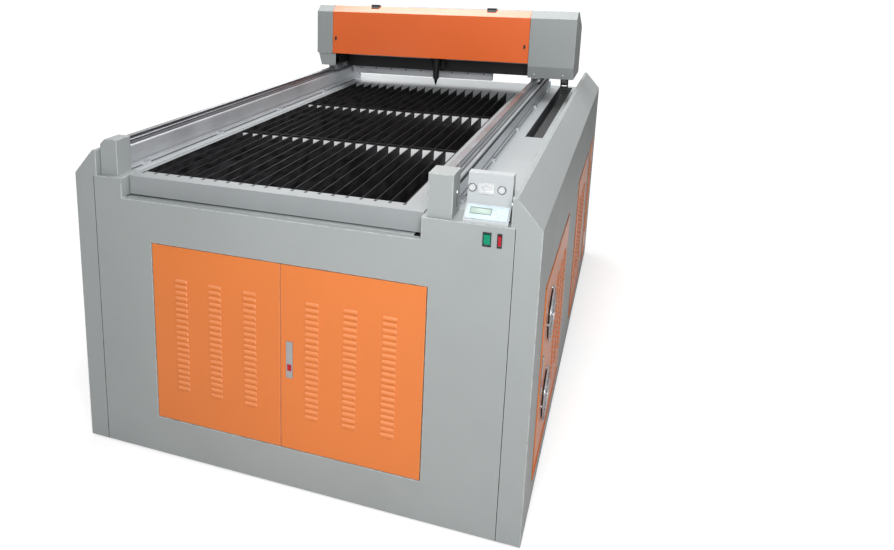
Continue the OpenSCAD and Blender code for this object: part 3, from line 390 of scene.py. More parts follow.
def scorched_slats(name, rgb):
    """Blade slats, blackened by cutting, with an even dark line along the top edge."""
    material, graph, bsdf = shader(name, Specular_IOR_Level=0.02)
    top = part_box("slats")[1].z
    place = graph.place()
    ragged = graph.vary(graph.noise(place, scale=60.0, detail=4.0), 0.3, 1.6)
    line = graph.math("SUBTRACT", top, graph.math("MULTIPLY", ragged, 1.6 * MM))
    rub = graph.spread(graph.axes(place)["Z"], line, top)
    streaks = graph.noise(graph.place(scale=(1, 0.25, 1)), scale=55.0, detail=5.0)
    soot = graph.spread(streaks, 0.35, 0.7)
    body = graph.mix(soot, rgba(rgb, 0.6), rgba(rgb, 2.4))
    graph.feed(bsdf.inputs["Base Color"], graph.mix(rub, body, SOOT))
    graph.feed(bsdf.inputs["Roughness"], graph.spread(soot, 0.0, 1.0, 0.34, 0.6))
    relief(graph, bsdf, graph.noise(place, scale=240.0, detail=3.0), strength=0.12, depth=0.6 * MM)
    return material


def sooted_bar(name, rgb):
    """Zinc-plated notched bars, blackened along the top where the cut burns through."""
    material, graph, bsdf = shader(name, Specular_IOR_Level=0.05)
    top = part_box("slat_supports")[1].z
    fade = 1.5 * MM
    place = graph.place()
    uneven = graph.vary(graph.noise(place, scale=40.0, detail=3.0), top - 9 * MM, top - 7 * MM)
    soot = graph.spread(graph.math("SUBTRACT", graph.axes(place)["Z"], uneven), -fade, fade)
    graph.feed(bsdf.inputs["Base Color"], graph.mix(soot, rgba(rgb), SOOT))
    graph.feed(bsdf.inputs["Roughness"], graph.spread(soot, 0.0, 1.0, 0.4, 0.8))
    edges = worn_and_highlit_edges(graph, radius=0.8 * MM)
    grain = graph.noise(place, scale=300.0)
    relief(graph, bsdf, grain, strength=0.05, depth=0.3 * MM, normal=edges["Normal"])
    return material


def clear_glass(name, rgb):
    """Thick clear glass with a faint tint."""
    material, graph, bsdf = shader(name, Transmission_Weight=1.0, IOR=1.47)
    haze = graph.noise(graph.place(scale=(0.2, 1, 1)), scale=40.0, detail=3.0)
    graph.feed(bsdf.inputs["Base Color"], graph.mix(haze, rgba(rgb), rgba(rgb, 0.93)))
    graph.feed(bsdf.inputs["Roughness"], graph.spread(haze, 0.3, 0.8, 0.02, 0.09))
    return material


def plated(name, rgb, roughness):
    """Polished plating with faint wiping marks."""
    material, graph, bsdf = shader(name, Metallic=1.0)
    wipe = graph.noise(graph.place(), scale=90.0, detail=4.0)
    graph.feed(bsdf.inputs["Base Color"], graph.mix(wipe, rgba(rgb), rgba(rgb, 0.85)))
    graph.feed(bsdf.inputs["Roughness"], graph.vary(wipe, roughness, roughness + 0.12))
    edges = worn_and_highlit_edges(graph, radius=0.6 * MM)
    relief(graph, bsdf, wipe, strength=0.02, depth=0.3 * MM, normal=edges["Normal"])
    return material


def finishes():
    """One material for each finish, by the record's slot or the small piece's own name."""
    c = colours()
    door = {"roughness": 0.3, "coat": 0.1, "soil": 0.03, "edge_wear_and_highlight": 1.6, "radius": 3.5 * MM}
    return {
        # the grey's wide, strong edge lightening is mostly a painted highlight along the panels' edges
        "grey_paint": lambda n: powder_coat(n, c.grey, 0.42, soil=0.05, edge_wear_and_highlight=2.6, radius=4.5 * MM),
        "pale_paint": lambda n: powder_coat(n, c.pale, 0.4, soil=0.08),
        "frame_paint": lambda n: powder_coat(n, c.dark, 0.5, soil=0.15),
        "bed_paint": lambda n: powder_coat(n, rgba(c.pale, 0.75)[:3], 0.5, soil=0.08),
        # a lighter copy of the pale paint: painted light on the console
        "console_painted_light": lambda n: powder_coat(n, rgba(c.pale, 1.15)[:3], 0.4, soil=0.04),
        "front_door_paint": lambda n: powder_coat(n, c.door, louvres=True, **door),
        "orange_paint": lambda n: powder_coat(n, c.door, **door),
        "hood_paint": lambda n: powder_coat(n, c.hood, 0.24, coat=0.5, soil=0.015, edge_wear_and_highlight=1.25, gloss=0.5),
        "slat_steel": lambda n: scorched_slats(n, c.slat),
        "rail_steel": lambda n: bare_metal(n, c.steel, 0.36, (1, 0.02, 1), top=0.75),
        "beam_aluminium": lambda n: bare_metal(n, c.silver, 0.42, (1, 0.01, 1), metallic=0.5, top=0.4),
        "zinc_steel": lambda n: sooted_bar(n, (0.85, 0.86, 0.88)),
        "latch_steel": lambda n: bare_metal(n, (0.42, 0.43, 0.44), 0.36, (1, 1, 0.05), metallic=0.7),
        "black_metal": lambda n: bare_metal(n, c.black, 0.4, (0.05, 1, 1), metallic=0.3),
        "black_plastic": lambda n: moulded(n, c.black, 0.5),
        "rubber": lambda n: moulded(n, c.black, 0.7, grain=900.0, bump=0.2),
        "tube_glass": lambda n: clear_glass(n, (0.85, 0.94, 0.95)),
        "meter_plastic": lambda n: moulded(n, c.white, 0.25, coat=0.4),
        "keypad_plastic": lambda n: moulded(n, c.keypad, 0.4),
        "button_plastic": lambda n: moulded(n, c.white, 0.22, coat=0.5),
        "green_plastic": lambda n: moulded(n, c.green, 0.2, coat=0.1, bump=0.02, gloss=0.2),
        "red_plastic": lambda n: moulded(n, c.red, 0.2, coat=0.1, bump=0.02, gloss=0.2),
        "switch_plastic": lambda n: moulded(n, c.keypad, 0.45),
        "bright_chrome": lambda n: plated(n, (0.8, 0.81, 0.82), 0.1),
        "guard_chrome": lambda n: plated(n, (0.42, 0.43, 0.45), 0.16),
        "belt_rubber": lambda n: moulded(n, (0.14, 0.14, 0.15), 0.6, grain=900.0, bump=0.2),
        "screw_steel": lambda n: plated(n, (0.5, 0.5, 0.52), 0.22),
        "seam_shadow": lambda n: moulded(n, (0.03, 0.032, 0.034), 0.7),
        "dial_ink": lambda n: moulded(n, (0.03, 0.03, 0.035), 0.5),
        "display_glass": lambda n: moulded(n, c.display, 0.3, coat=0.1, bump=0.0, gloss=0.2),
        # a darker copy of the display colour: painted shade in the display's recess
        "display_recess_shade": lambda n: moulded(n, rgba(c.display, 0.35)[:3], 0.5),
        "chain_plastic": lambda n: moulded(n, (0.065, 0.065, 0.068), 0.6),
        "key_cap": lambda n: moulded(n, (0.72, 0.78, 0.8), 0.35, coat=0.2),
    }


# parts painted otherwise than the other parts of their slot
OWN_FINISH = {
    "table_frame": "bed_paint", "control_box": "console_painted_light", "fan_guards": "guard_chrome",
    "button_rings": "guard_chrome", "drive_belts": "belt_rubber",
    "front_left_door": "front_door_paint", "front_right_door": "front_door_paint",
}


def finish(name):
    label = "finish_" + name
    return bpy.data.materials.get(label) or finishes()[name](label)


# Modelling

def deselect():
    bpy.ops.object.select_all(action="DESELECT")


def fix_place():
    bpy.ops.object.transform_apply(location=True, rotation=True, scale=True)


def apply_modifier(piece, kind, **settings):
    modifier = piece.modifiers.new(kind, kind)
    for key, value in settings.items():
        setattr(modifier, key, value)
    bpy.ops.object.modifier_apply(modifier=modifier.name)


def soften(piece, width):
    apply_modifier(piece, "BEVEL", width=width, segments=2, limit_method="ANGLE", angle_limit=0.6)


def block(low, high, bevel):
    """A box between two corners with softened edges."""
    low, high = Vector(low), Vector(high)
    deselect()
    bpy.ops.mesh.primitive_cube_add(size=1, location=(low + high) / 2, scale=high - low)
    piece = bpy.context.object
    fix_place()
    soften(piece, bevel)
    return piece


def disc(radius, height, bevel, sides=24):
    """A low cylinder standing on the XY plane, with a softened rim."""
    deselect()
    bpy.ops.mesh.primitive_cylinder_add(
        vertices=sides, radius=radius, depth=height, location=(0, 0, height / 2))
    piece = bpy.context.object
    fix_place()
    soften(piece, bevel)
    return piece


def cut_away(piece, tool):
    """Cuts the tool's shape out of a piece and deletes the tool."""
    deselect()
    piece.select_set(True)
    bpy.context.view_layer.objects.active = piece
    apply_modifier(piece, "BOOLEAN", object=tool, operation="DIFFERENCE", solver="EXACT")
    bpy.data.objects.remove(tool)
    return piece


def bolt_head(radius, height):
    """A cap screw's head with a hexagon socket, standing on the XY plane."""
    head = disc(radius, height, min(0.3 * height, 0.12 * radius))
    deselect()
    bpy.ops.mesh.primitive_cylinder_add(
        vertices=6, radius=0.5 * radius, depth=height, location=(0, 0, height))
    return cut_away(head, bpy.context.object)


def pan_head(radius, height):
    """A pan-head screw with a cross recess, standing on the XY plane."""
    head = disc(radius, height, 0.45 * height)
    for turn in (0, math.pi / 2):
        deselect()
        bpy.ops.mesh.primitive_cube_add(size=1, location=(0, 0, height), rotation=(0, 0, turn),
                                        scale=(1.2 * radius, 0.26 * radius, 0.9 * height))
        fix_place()
        cut_away(head, bpy.context.object)
    return head


def facing(point, normal, up=Z):
    """A matrix that stands a shape drawn on the XY plane on a face, with its +Y towards up."""
    n = Vector(normal).normalized()
    side = Vector(up).cross(n)
    if side.length < 1e-6:
        side = X
    side = side.normalized()
    turn = Matrix((side, n.cross(side), n)).transposed().to_4x4()
    return Matrix.Translation(Vector(point)) @ turn


def repeat(piece, places):
    """Copies of a piece at each place, joined into one; the original is removed."""
    deselect()
    copies = []
    for place in places:
        copy = piece.copy()
        copy.data = piece.data.copy()
        copy.matrix_world = place
        bpy.context.scene.collection.objects.link(copy)
        copy.select_set(True)
        copies.append(copy)
    bpy.data.objects.remove(piece)
    return join(copies)


def join(pieces):
    """One object made of several, with its place in its mesh."""
    deselect()
    for piece in pieces:
        piece.select_set(True)
    bpy.context.view_layer.objects.active = pieces[0]
    if len(pieces) > 1:
        bpy.ops.object.join()
    fix_place()
    return bpy.context.object


def hand_over(piece, name, body, slot, material=None):
    """Names a finished piece, paints it and fixes it to its body."""
    piece.name = name
    piece.data.materials.clear()
    piece.data.materials.append(finish(material or slot))
    deselect()
    piece.select_set(True)
    bpy.context.view_layer.objects.active = piece
    bpy.ops.object.shade_smooth_by_angle(angle=SMOOTH_ANGLE)
    if body:
        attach(piece, body)
    return piece


def steps(low, high, pitch):
    """Evenly spaced values between two ends, centred, about a pitch apart."""
    count = max(1, int((high - low) / pitch))
    return [low + (high - low) * (i + 0.5) / count for i in range(count)]


class LaserOperator:
    """What the operators share: each says in make() what it adds."""
    bl_options = {"REGISTER", "UNDO"}

    def execute(self, context):
        self.make()
        return {"FINISHED"}


class LASER_OT_paint(LaserOperator, bpy.types.Operator):
    """Paint every part of the machine with its finish"""
    bl_idname = "laser.paint"
    bl_label = "Paint the machine"

    def make(self):
        for part in frame["record"]["subparts"]:
            mesh = frame["nodes"][part["node"]].data
            mesh.materials.clear()
            mesh.materials.append(finish(OWN_FINISH.get(part["node"], part["material_slot"])))


class LASER_OT_rail_bolts(LaserOperator, bpy.types.Operator):
    """Add the bolts that hold the linear rails"""
    bl_idname = "laser.rail_bolts"
    bl_label = "Rail bolts"

    def make(self):
        low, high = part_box("side_rails")
        rail, sunk, proud = 20 * MM, 0.3 * MM, 0.2 * MM
        columns = (low.x + rail / 2, high.x - rail / 2)
        rows = steps(low.y, high.y, sizes().bolt_pitch)
        places = [facing((x, y, high.z - sunk), Z, Y) for x in columns for y in rows]
        bolts = repeat(bolt_head(sizes().rail_bolt, sunk + proud), places)
        hand_over(bolts, "rail_bolts", "cabinet", "rail_steel")


class LASER_OT_seams(LaserOperator, bpy.types.Operator):
    """Add the dark joints between the cabinet's panels"""
    bl_idname = "laser.seams"
    bl_label = "Panel seams"

    def make(self):
        low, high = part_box("front_panel")
        half, proud, short = sizes().seam / 2, 0.25 * MM, 1 * MM
        bottom, top = low.z + short, high.z - short
        strips = [
            block((x - half, low.y - proud, bottom), (x + half, low.y + INLAY, top), CRISP)
            for x in (low.x, high.x)
        ]
        hand_over(join(strips), "panel_seams", "cabinet", "grey_paint", "seam_shadow")


class LASER_OT_cover_screws(LaserOperator, bpy.types.Operator):
    """Add the screws that hold the sheet covers"""
    bl_idname = "laser.cover_screws"
    bl_label = "Cover screws"

    def make(self):
        places = {"gantry": self.gantry_places(), "cabinet": self.cabinet_places()}
        for body in places:
            screws = repeat(pan_head(sizes().screw, height=2.2 * MM), places[body])
            hand_over(screws, body + "_screws", body, "bright_chrome", "screw_steel")

    def gantry_places(self):
        low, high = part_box("gantry_right_box")
        across, foot, inset = high.x - low.x, 20 * MM, 40 * MM
        front = [facing((low.x + share * across, low.y, low.z + foot), -Y) for share in (0.15, 0.78)]
        side = [facing((high.x, y, low.z + rise), X)
                for y in (low.y + inset, high.y - inset) for rise in (30 * MM, 190 * MM)]
        low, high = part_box("gantry_back_cover")
        columns = steps(low.x, high.x, 180 * MM)
        back = [facing((x, high.y, low.z + rise), Y) for rise in (foot, 220 * MM) for x in columns]
        return front + side + back

    def cabinet_places(self):
        low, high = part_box("rear_panel")
        inset = 14 * MM
        rows, columns = steps(low.z, high.z, 220 * MM), steps(low.x, high.x, 260 * MM)
        places = [facing((x, high.y, z), Y) for x in (low.x + inset, high.x - inset) for z in rows]
        places += [facing((x, high.y, z), Y) for z in (low.z + inset, high.z - inset) for x in columns]
        low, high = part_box("exhaust_spigot")
        count, rim, flange = 6, 11 * MM, 2 * MM
        centre, ring = (low + high) / 2, (high.x - low.x) / 2 - rim
        for k in range(count):
            turn = math.radians(360 / count * k)
            spot = (centre.x + ring * math.cos(turn), low.y + flange, centre.z + ring * math.sin(turn))
            places.append(facing(spot, Y))
        low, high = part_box("control_box")
        columns = (low.y + 16 * MM, high.y - inset)
        return places + [facing((high.x, y, low.z + inset), X) for y in columns]


class LASER_OT_guard_screws(LaserOperator, bpy.types.Operator):
    """Add the screws of the two fan guards"""
    bl_idname = "laser.guard_screws"
    bl_label = "Fan guard screws"

    def make(self):
        low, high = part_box("fan_guards")
        width, inset, wire = high.y - low.y, 6 * MM, 2 * MM
        reach, middle, face = width / 2 - inset, (low.y + high.y) / 2, low.x + wire
        places = []
        for centre in (low.z + width / 2, high.z - width / 2):
            for dy, dz in ((reach, 0), (-reach, 0), (0, reach), (0, -reach)):
                places.append(facing((face, middle + dy, centre + dz), X))
        screws = repeat(pan_head(radius=5 * MM, height=3 * MM), places)
        hand_over(screws, "guard_screws", "door_side_front", "bright_chrome", "screw_steel")


class LASER_OT_side_latches(LaserOperator, bpy.types.Operator):
    """Add the turn latches of the side doors"""
    bl_idname = "laser.side_latches"
    bl_label = "Side door latches"

    def make(self):
        face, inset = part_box("right_side_panel")[1].x, 42 * MM
        half, reach, foot, top = 2 * MM, 6.5 * MM, 1 * MM, 3.5 * MM
        for place in ("middle", "rear"):
            low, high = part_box("side_door_" + place)
            rose = disc(radius=8 * MM, height=1.5 * MM, bevel=0.5 * MM, sides=32)
            grip = block((-half, -reach, foot), (half, reach, top), bevel=0.8 * MM)
            spot = (face, low.y + inset, (low.z + high.z) / 2)
            latch = repeat(join([rose, grip]), [facing(spot, X)])
            hand_over(latch, "side_door_" + place + "_latch", "door_side_" + place, "latch_steel")


class LASER_OT_door_rims(LaserOperator, bpy.types.Operator):
    """Add the raised rims of the side doors, clear of their hinges"""
    bl_idname = "laser.door_rims"
    bl_label = "Side door rims"

    def make(self):
        face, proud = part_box("right_side_panel")[1].x, 3.5 * MM
        pin, clear, wide, soft = 9 * MM, 40 * MM, 3 * MM, 0.5 * MM
        inner, outer = face - INLAY, face + proud
        for place in ("front", "middle", "rear"):
            low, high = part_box("side_door_" + place)
            bottom, top, end = low.z + pin, high.z - pin, high.y - clear
            rims = [
                block((inner, low.y, bottom), (outer, low.y + wide, top), soft),
                block((inner, low.y, top - wide), (outer, end, top), soft),
                block((inner, low.y, bottom), (outer, end, bottom + wide), soft),
            ]
            hand_over(join(rims), "side_door_" + place + "_rim", "door_side_" + place, "orange_paint")


class LASER_OT_bed_ledge(LaserOperator, bpy.types.Operator):
    """Add the strip that closes the gap under the front of the bed table"""
    bl_idname = "laser.bed_ledge"
    bl_label = "Bed ledge"

    def make(self):
        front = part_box("front_panel")[0].y
        low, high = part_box("table_frame")
        inset, lap, drop, thick = 24 * MM, 18 * MM, 4 * MM, 1.8 * MM
        top = low.z - drop
        strip = block(
            (low.x, front + inset, top - thick), (high.x - inset, low.y + lap, top), bevel=0.4 * MM)
        hand_over(strip, "bed_ledge", "cabinet", "grey_paint")


class LASER_OT_slat_slots(LaserOperator, bpy.types.Operator):
    """Add dark strips of painted shade for the open slots in the bed table in which the slats' ends
    stand
    """
    bl_idname = "laser.slat_slots"
    bl_label = "Slat slots"

    def make(self):
        low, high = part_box("slats")
        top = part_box("table_frame")[1].z
        count, thick, aside = 21, 3 * MM, 1 * MM
        half, seat, spare, proud = 4.5 * MM, 12 * MM, 7 * MM, 0.3 * MM
        slots = [
            block((-half, start, top - INLAY), (half, start + seat + spare, top + proud), CRISP)
            for start in (low.y - spare, high.y - seat)
        ]
        first, pitch = low.x + thick / 2 + aside, (high.x - low.x - thick) / (count - 1)
        columns = [Matrix.Translation((first + k * pitch, 0, 0)) for k in range(count)]
        hand_over(repeat(join(slots), columns), "slat_slots", "cabinet", "pale_paint", "seam_shadow")


class LASER_OT_beam_grooves(LaserOperator, bpy.types.Operator):
    """Add dark strips of painted shade for the grooves along the right beam and the holes in the chain
    tray
    """
    bl_idname = "laser.beam_grooves"
    bl_label = "Grooves and holes"

    def make(self):
        low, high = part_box("right_beam")
        short, proud = 2 * MM, 0.25 * MM
        start, end = low.y + short, high.y - short
        # where the two grooves begin and end, from the beam's outer upper edge
        top_near, top_far, side_near, side_far = 6 * MM, 11 * MM, 12 * MM, 24 * MM
        grooves = [
            block((high.x - top_far, start, high.z - INLAY),
                  (high.x - top_near, end, high.z + proud), CRISP),
            block((high.x - INLAY, start, high.z - side_far),
                  (high.x + proud, end, high.z - side_near), CRISP),
        ]
        hand_over(join(grooves), "beam_grooves", "cabinet", "beam_aluminium", "seam_shadow")

        low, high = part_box("chain_tray")
        row, pitch = low.z + 0.7 * (high.z - low.z), 80 * MM
        places = [facing((x, low.y, row), -Y) for x in steps(low.x, high.x, pitch)]
        holes = repeat(disc(radius=4 * MM, height=0.3 * MM, bevel=CRISP), places)
        hand_over(holes, "tray_holes", "gantry", "beam_aluminium", "seam_shadow")


class LASER_OT_console_fittings(LaserOperator, bpy.types.Operator):
    """Add the lock of the right post, a dark strip of painted shade for its slot, and the knob beside
    the console
    """
    bl_idname = "laser.console_fittings"
    bl_label = "Console fittings"

    def make(self):
        low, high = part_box("right_post_cover")
        middle, tall = (low.y + high.y) / 2, high.z - low.z
        lock_place = facing((high.x, middle, low.z + 0.52 * tall), X)
        lock = repeat(pan_head(radius=6 * MM, height=4 * MM), [lock_place])
        box_low, box_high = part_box("control_box")
        knob_place = facing((box_high.x, box_low.y + 40 * MM, box_low.z + 52 * MM), X)
        knob = repeat(bolt_head(radius=5.5 * MM, height=7 * MM), [knob_place])
        hand_over(join([lock, knob]), "console_fittings", "cabinet", "bright_chrome")

        near, far, proud = middle + 6 * MM, middle + 10 * MM, 0.3 * MM
        bottom, top = low.z + 0.16 * tall, low.z + 0.44 * tall
        slot = block((high.x - INLAY, near, bottom), (high.x + proud, far, top), CRISP)
        hand_over(slot, "post_slot", "cabinet", "grey_paint", "seam_shadow")


def console_faces():
    """Frames on the control box's flat keypad face and steep meter face, with +Y up the slope."""
    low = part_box("control_box")[0]
    # depth and height of the profile's corners in millimetres
    corners = ((0, 9), (47, 41), (57, 127))
    foot, bend, top = [Vector((0, low.y + y * MM, low.z + z * MM)) for y, z in corners]
    keys = facing((foot + bend) / 2, X.cross(bend - foot), bend - foot)
    face = facing((bend + top) / 2, X.cross(top - bend), top - bend)
    return keys, face


class LASER_OT_meter_face(LaserOperator, bpy.types.Operator):
    """Add the meter's scale, needle and lower cover"""
    bl_idname = "laser.meter_face"
    bl_label = "Meter face"

    def make(self):
        low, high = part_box("meter")
        face = console_faces()[1]
        flat = face.copy()
        flat.translation = (low + high) / 2 + face.to_3x3() @ Vector((0, 0, 1.55 * MM))
        hub = flat @ Matrix.Translation((0, -9 * MM, 0))

        def swung(piece, degrees):
            return repeat(piece, [hub @ Matrix.Rotation(math.radians(degrees), 4, "Z")])

        count, leftmost, apart, large = 11, 50, 10, 5
        inner, half, thick = 15 * MM, 0.3 * MM, 0.25 * MM
        marks = []
        for k in range(count):
            long = 3.4 * MM if k % large == 0 else 2 * MM
            tick = block((-half, inner, 0), (half, inner + long, thick), bevel=0.05 * MM)
            marks.append(swung(tick, leftmost - apart * k))
        half, reach, under, over = 0.35 * MM, 16 * MM, 0.3 * MM, 0.7 * MM
        marks.append(swung(block((-half, 0, under), (half, reach, over), CRISP), 48))
        boss = disc(radius=2.6 * MM, height=1 * MM, bevel=0.3 * MM)
        marks.append(repeat(boss, [hub]))
        hand_over(join(marks), "meter_scale", "cabinet", "black_plastic", "dial_ink")

        half, bottom, top, thick, lift = 20 * MM, -13 * MM, -5.5 * MM, 0.9 * MM, 0.3 * MM
        skirt = block((-half, bottom, 0), (half, top, thick), bevel=0.3 * MM)
        lower = repeat(skirt, [flat @ Matrix.Translation((0, 0, lift))])
        hand_over(lower, "meter_skirt", "cabinet", "meter_plastic")


class LASER_OT_keypad_face(LaserOperator, bpy.types.Operator):
    """Add the keypad's display, the painted shade of its recess and the key caps"""
    bl_idname = "laser.keypad_face"
    bl_label = "Keypad face"

    def make(self):
        low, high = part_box("control_box")
        keys = Matrix.Translation((low.x, 0, 0)) @ console_faces()[0]
        # name, finish and two corners in millimetres of the display's recess, dark with painted shade
        # and wider at the top, and of its glass
        plates = (
            ("keypad_recess", "display_recess_shade", (15, -8, 3), (73, 14, 4.15)),
            ("keypad_display", "display_glass", (16, -7, 3.5), (71.5, 11.5, 4.35)),
        )
        for name, material, near, far in plates:
            plate = block(Vector(near) * MM, Vector(far) * MM, bevel=0.2 * MM)
            hand_over(repeat(plate, [keys]), name, "cabinet", "keypad_plastic", material)
        centre, lift, dx, dy = high.x - low.x - 28 * MM, 3.9 * MM, 9 * MM, 8 * MM
        cap = disc(radius=3.1 * MM, height=0.9 * MM, bevel=0.3 * MM)
        places = [
            keys @ Matrix.Translation((centre + x, y, lift))
            for x, y in ((0, 0), (dx, 0), (-dx, 0), (0, dy), (0, -dy))
        ]
        hand_over(repeat(cap, places), "keypad_caps", "cabinet", "keypad_plastic", "key_cap")


def chain_link(pitch, width, height):
    """One link of the drag chain along +Y: side plates with round ends, cross bars and inner tongues."""
    half, plate, bar, rim = width / 2, 4 * MM, 3 * MM, 0.6 * MM
    tongue, side = 1.6 * plate, half - plate / 2
    parts = []
    for x0, x1 in ((-half, plate - half), (half - plate, half)):
        parts.append(block((x0, 0.04 * pitch, 0), (x1, 0.96 * pitch, height), bevel=0.2 * pitch))
    for z0 in (rim, height - rim - bar):
        parts.append(block((-side, 0.25 * pitch, z0), (side, 0.75 * pitch, z0 + bar), bevel=0.6 * MM))
    for x0, x1 in ((plate - half, tongue - half), (half - tongue, half - plate)):
        parts.append(block((x0, 0.6 * pitch, bar), (x1, 1.35 * pitch, height - bar), bevel=0.8 * MM))
    return join(parts)


class LASER_OT_drag_chain(LaserOperator, bpy.types.Operator):
    """Replace the chain's plain runs with links, the loop's links fixed to the chain's loop"""
    bl_idname = "laser.drag_chain"
    bl_label = "Drag chain"

    def make(self):
        pitch = sizes().chain_pitch
        low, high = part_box("drag_chain_lower")
        width, height = high.x - low.x, high.z - low.z
        middle = (low.x + high.x) / 2
        count = round((high.y - low.y) / pitch)
        rows = [low.y + (i - 0.3) * pitch for i in range(1, count)]
        places = [Matrix.Translation((middle, y, low.z)) for y in rows]
        run = repeat(chain_link(pitch, width, height), places)
        hand_over(run, "chain_links_lower", "cabinet", "black_plastic", "chain_plastic")
        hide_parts("drag_chain_lower")
        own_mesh(run)

        loop_low, loop_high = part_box("drag_chain_loop")
        centre = Vector((middle, loop_low.y, (loop_low.z + loop_high.z) / 2))
        radius, rim = (loop_high.z - loop_low.z) / 2, 0.6 * MM
        bends = round(math.pi * (radius - height / 2) / pitch)
        # the links of the loop are a little shorter, to stay within its ends
        bent = 0.97 * pitch
        places = []
        for i in range(bends):
            swing = Matrix.Rotation(math.pi * (i + 0.5) / bends, 4, "X")
            hang = Matrix.Translation((0, -bent / 2, rim - radius))
            places.append(Matrix.Translation(centre) @ swing @ hang)
        loop = repeat(chain_link(bent, width, height), places)
        hand_over(loop, "chain_links_loop", "chain_loop", "black_plastic", "chain_plastic")
        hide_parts("drag_chain_loop")

        up_low, up_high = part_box("drag_chain_upper")
        count, reach = sizes().upper_links, up_high.y - up_low.y
        plate, bar, rim = 4 * MM, 3 * MM, 1 * MM
        left, right = up_low.x + plate / 2, up_high.x - plate / 2
        links = []
        for k in range(count):
            start, end = [up_low.y + reach * even_share((k + t) / count) for t in (0.06, 0.94)]
            for side in (up_low.x, up_high.x - plate):
                links.append(block((side, start, up_low.z), (side + plate, end, up_high.z), CRISP))
            near, far = [start + (end - start) * t for t in (0.3, 0.7)]
            for z0 in (up_low.z + rim, up_high.z - rim - bar):
                links.append(block((left, near, z0), (right, far, z0 + bar), CRISP))
        run = hand_over(join(links), "chain_links_upper", None, "black_plastic", "chain_plastic")
        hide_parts("drag_chain_upper")
        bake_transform(run)


def even_share(share):
    """The place between two ends at which a smooth blend has covered the given share of its way."""
    low, high = 0.0, 1.0
    for _ in range(40):
        mid = (low + high) / 2
        low, high = (mid, high) if mid * mid * (3 - 2 * mid) < share else (low, mid)
    return (low + high) / 2


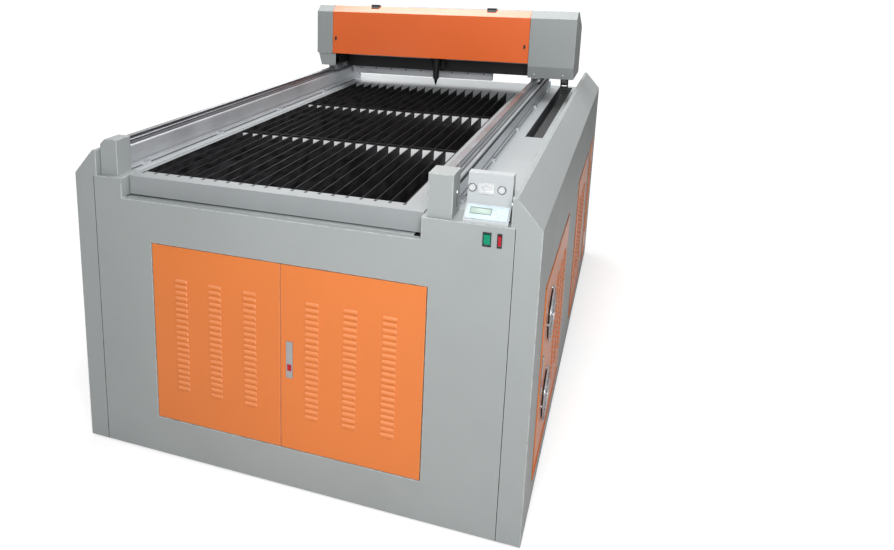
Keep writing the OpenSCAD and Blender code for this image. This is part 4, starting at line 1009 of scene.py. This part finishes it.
class LASER_OT_stage(LaserOperator, bpy.types.Operator):
    """Add the camera, the soft light and the pale floor"""
    bl_idname = "laser.stage"
    bl_label = "Stage"

    def make(self):
        self.make_camera()
        self.make_floor()
        self.make_world()
        # name, place, target, two sizes and power of each soft lamp
        lamps = [
            ("overhead", (0.4, -0.2, 3.2), (0.4, 0.2, 0.9), (0.8, 2.2), 46),
            ("strip", (-0.5, 1.2, 3.3), (-0.3, 0.7, 1.2), (2.8, 0.6), 38),
            ("key", (1.0, -3.5, 2.2), (0.3, -1.0, 0.7), (1.2, 1.2), 80),
            ("back_fill", (-2.0, 3.6, 2.8), (0.0, 0.8, 0.8), (2.0, 2.0), 35),
        ]
        for name, place, target, size, power in lamps:
            deselect()
            bpy.ops.object.light_add(type="AREA", location=place)
            lamp = bpy.context.object
            lamp.name = name
            lamp.rotation_euler = (Vector(target) - Vector(place)).to_track_quat("-Z", "Y").to_euler()
            lamp.data.shape = "RECTANGLE"
            lamp.data.size, lamp.data.size_y = size
            lamp.data.energy = power

    def make_camera(self):
        s = stage_settings()
        level = math.cos(s.pitch)
        ahead = Vector((-math.sin(s.yaw) * level, math.cos(s.yaw) * level, -math.sin(s.pitch)))
        right = Vector((math.cos(s.yaw), math.sin(s.yaw), 0))
        up = right.cross(ahead)
        rolled_right = right * math.cos(s.roll) + up * math.sin(s.roll)
        rolled_up = -right * math.sin(s.roll) + up * math.cos(s.roll)
        turn = Matrix((rolled_right, rolled_up, -ahead)).transposed().to_4x4()
        deselect()
        bpy.ops.object.camera_add()
        camera = bpy.context.object
        camera.name = "camera"
        camera.matrix_world = Matrix.Translation(Vector(s.camera)) @ turn
        camera.data.sensor_width = 36
        camera.data.lens = s.lens
        camera.data.shift_x, camera.data.shift_y = s.shift
        camera.data.clip_end = 200
        bpy.context.scene.camera = camera
        bpy.context.scene.view_settings.view_transform = "Standard"

    def make_floor(self):
        deselect()
        bpy.ops.mesh.primitive_plane_add(size=80, location=(0, 0, 0))
        floor = bpy.context.object
        floor.name = "floor"
        material = bpy.data.materials.new("pale_floor")
        graph = empty_graph(material)
        matt = graph.add("ShaderNodeBsdfDiffuse", {"Color": (0.86, 0.86, 0.86, 1)}).outputs[0]
        glow = graph.add("ShaderNodeEmission", {"Color": WHITE, "Strength": 2.0}).outputs[0]
        light = graph.add("ShaderNodeLightPath").outputs
        seen = graph.math("MAXIMUM", light["Is Camera Ray"], light["Is Transmission Ray"])
        spot = graph.place()
        across, along, _ = graph.axes(spot)
        # no glow on the floor inside the cabinet
        half_wide, half_long, fade = 0.7, 1.22, 0.04
        beside = graph.spread(graph.math("ABSOLUTE", across), half_wide, half_wide + fade)
        beyond = graph.spread(graph.math("ABSOLUTE", along), half_long, half_long + fade)
        open_floor = graph.math("MAXIMUM", beside, beyond)
        # the glow grows with the distance from the machine, so that the far floor meets the white
        near, far, least, most = 2.2, 5.0, 0.31, 0.5
        away = graph.add("ShaderNodeVectorMath", {0: spot}, operation="LENGTH").outputs["Value"]
        share = graph.math("MULTIPLY", graph.math("MULTIPLY", seen, open_floor),
                           graph.spread(away, near, far, least, most))
        mixed = graph.add("ShaderNodeMixShader", {0: share, 1: matt, 2: glow}).outputs[0]
        graph.surface("ShaderNodeOutputMaterial", mixed)
        floor.data.materials.append(material)

    def make_world(self):
        world = bpy.data.worlds.new("white_studio")
        bpy.context.scene.world = world
        graph = empty_graph(world)
        light = graph.add("ShaderNodeLightPath").outputs
        seen = graph.math("MAXIMUM", light["Is Camera Ray"],
                          graph.math("MAXIMUM", light["Is Glossy Ray"], light["Is Transmission Ray"]))
        strength = graph.spread(seen, 0.0, 1.0, stage_settings().fill, 1.0)
        back = graph.add("ShaderNodeBackground", {"Color": WHITE, "Strength": strength}).outputs[0]
        graph.surface("ShaderNodeOutputWorld", back)


OPERATORS = (
    LASER_OT_paint, LASER_OT_rail_bolts, LASER_OT_seams, LASER_OT_cover_screws,
    LASER_OT_guard_screws, LASER_OT_side_latches, LASER_OT_door_rims, LASER_OT_bed_ledge,
    LASER_OT_slat_slots, LASER_OT_beam_grooves, LASER_OT_console_fittings, LASER_OT_meter_face,
    LASER_OT_keypad_face, LASER_OT_drag_chain, LASER_OT_stage,
)


class LASER_PT_panel(bpy.types.Panel):
    """Steps that finish the machine, in order"""
    bl_label = "Laser cutter"
    bl_idname = "LASER_PT_panel"
    bl_space_type = "VIEW_3D"
    bl_region_type = "UI"
    bl_category = "Laser cutter"

    def draw(self, context):
        for operator in OPERATORS:
            self.layout.operator(operator.bl_idname)


GROUPS = (LASER_PG_colours, LASER_PG_sizes, LASER_PG_stage)


def register():
    for cls in (*GROUPS, *OPERATORS, LASER_PT_panel):
        bpy.utils.register_class(cls)
    bpy.types.Scene.laser_colours = PointerProperty(type=LASER_PG_colours)
    bpy.types.Scene.laser_sizes = PointerProperty(type=LASER_PG_sizes)
    bpy.types.Scene.laser_stage = PointerProperty(type=LASER_PG_stage)


def unregister():
    del bpy.types.Scene.laser_colours, bpy.types.Scene.laser_sizes, bpy.types.Scene.laser_stage
    for cls in reversed((*GROUPS, *OPERATORS, LASER_PT_panel)):
        bpy.utils.unregister_class(cls)


def main():
    register()
    for operator in OPERATORS:
        family, name = operator.bl_idname.split(".")
        getattr(getattr(bpy.ops, family), name)()


if __name__ == "__main__":
    main()
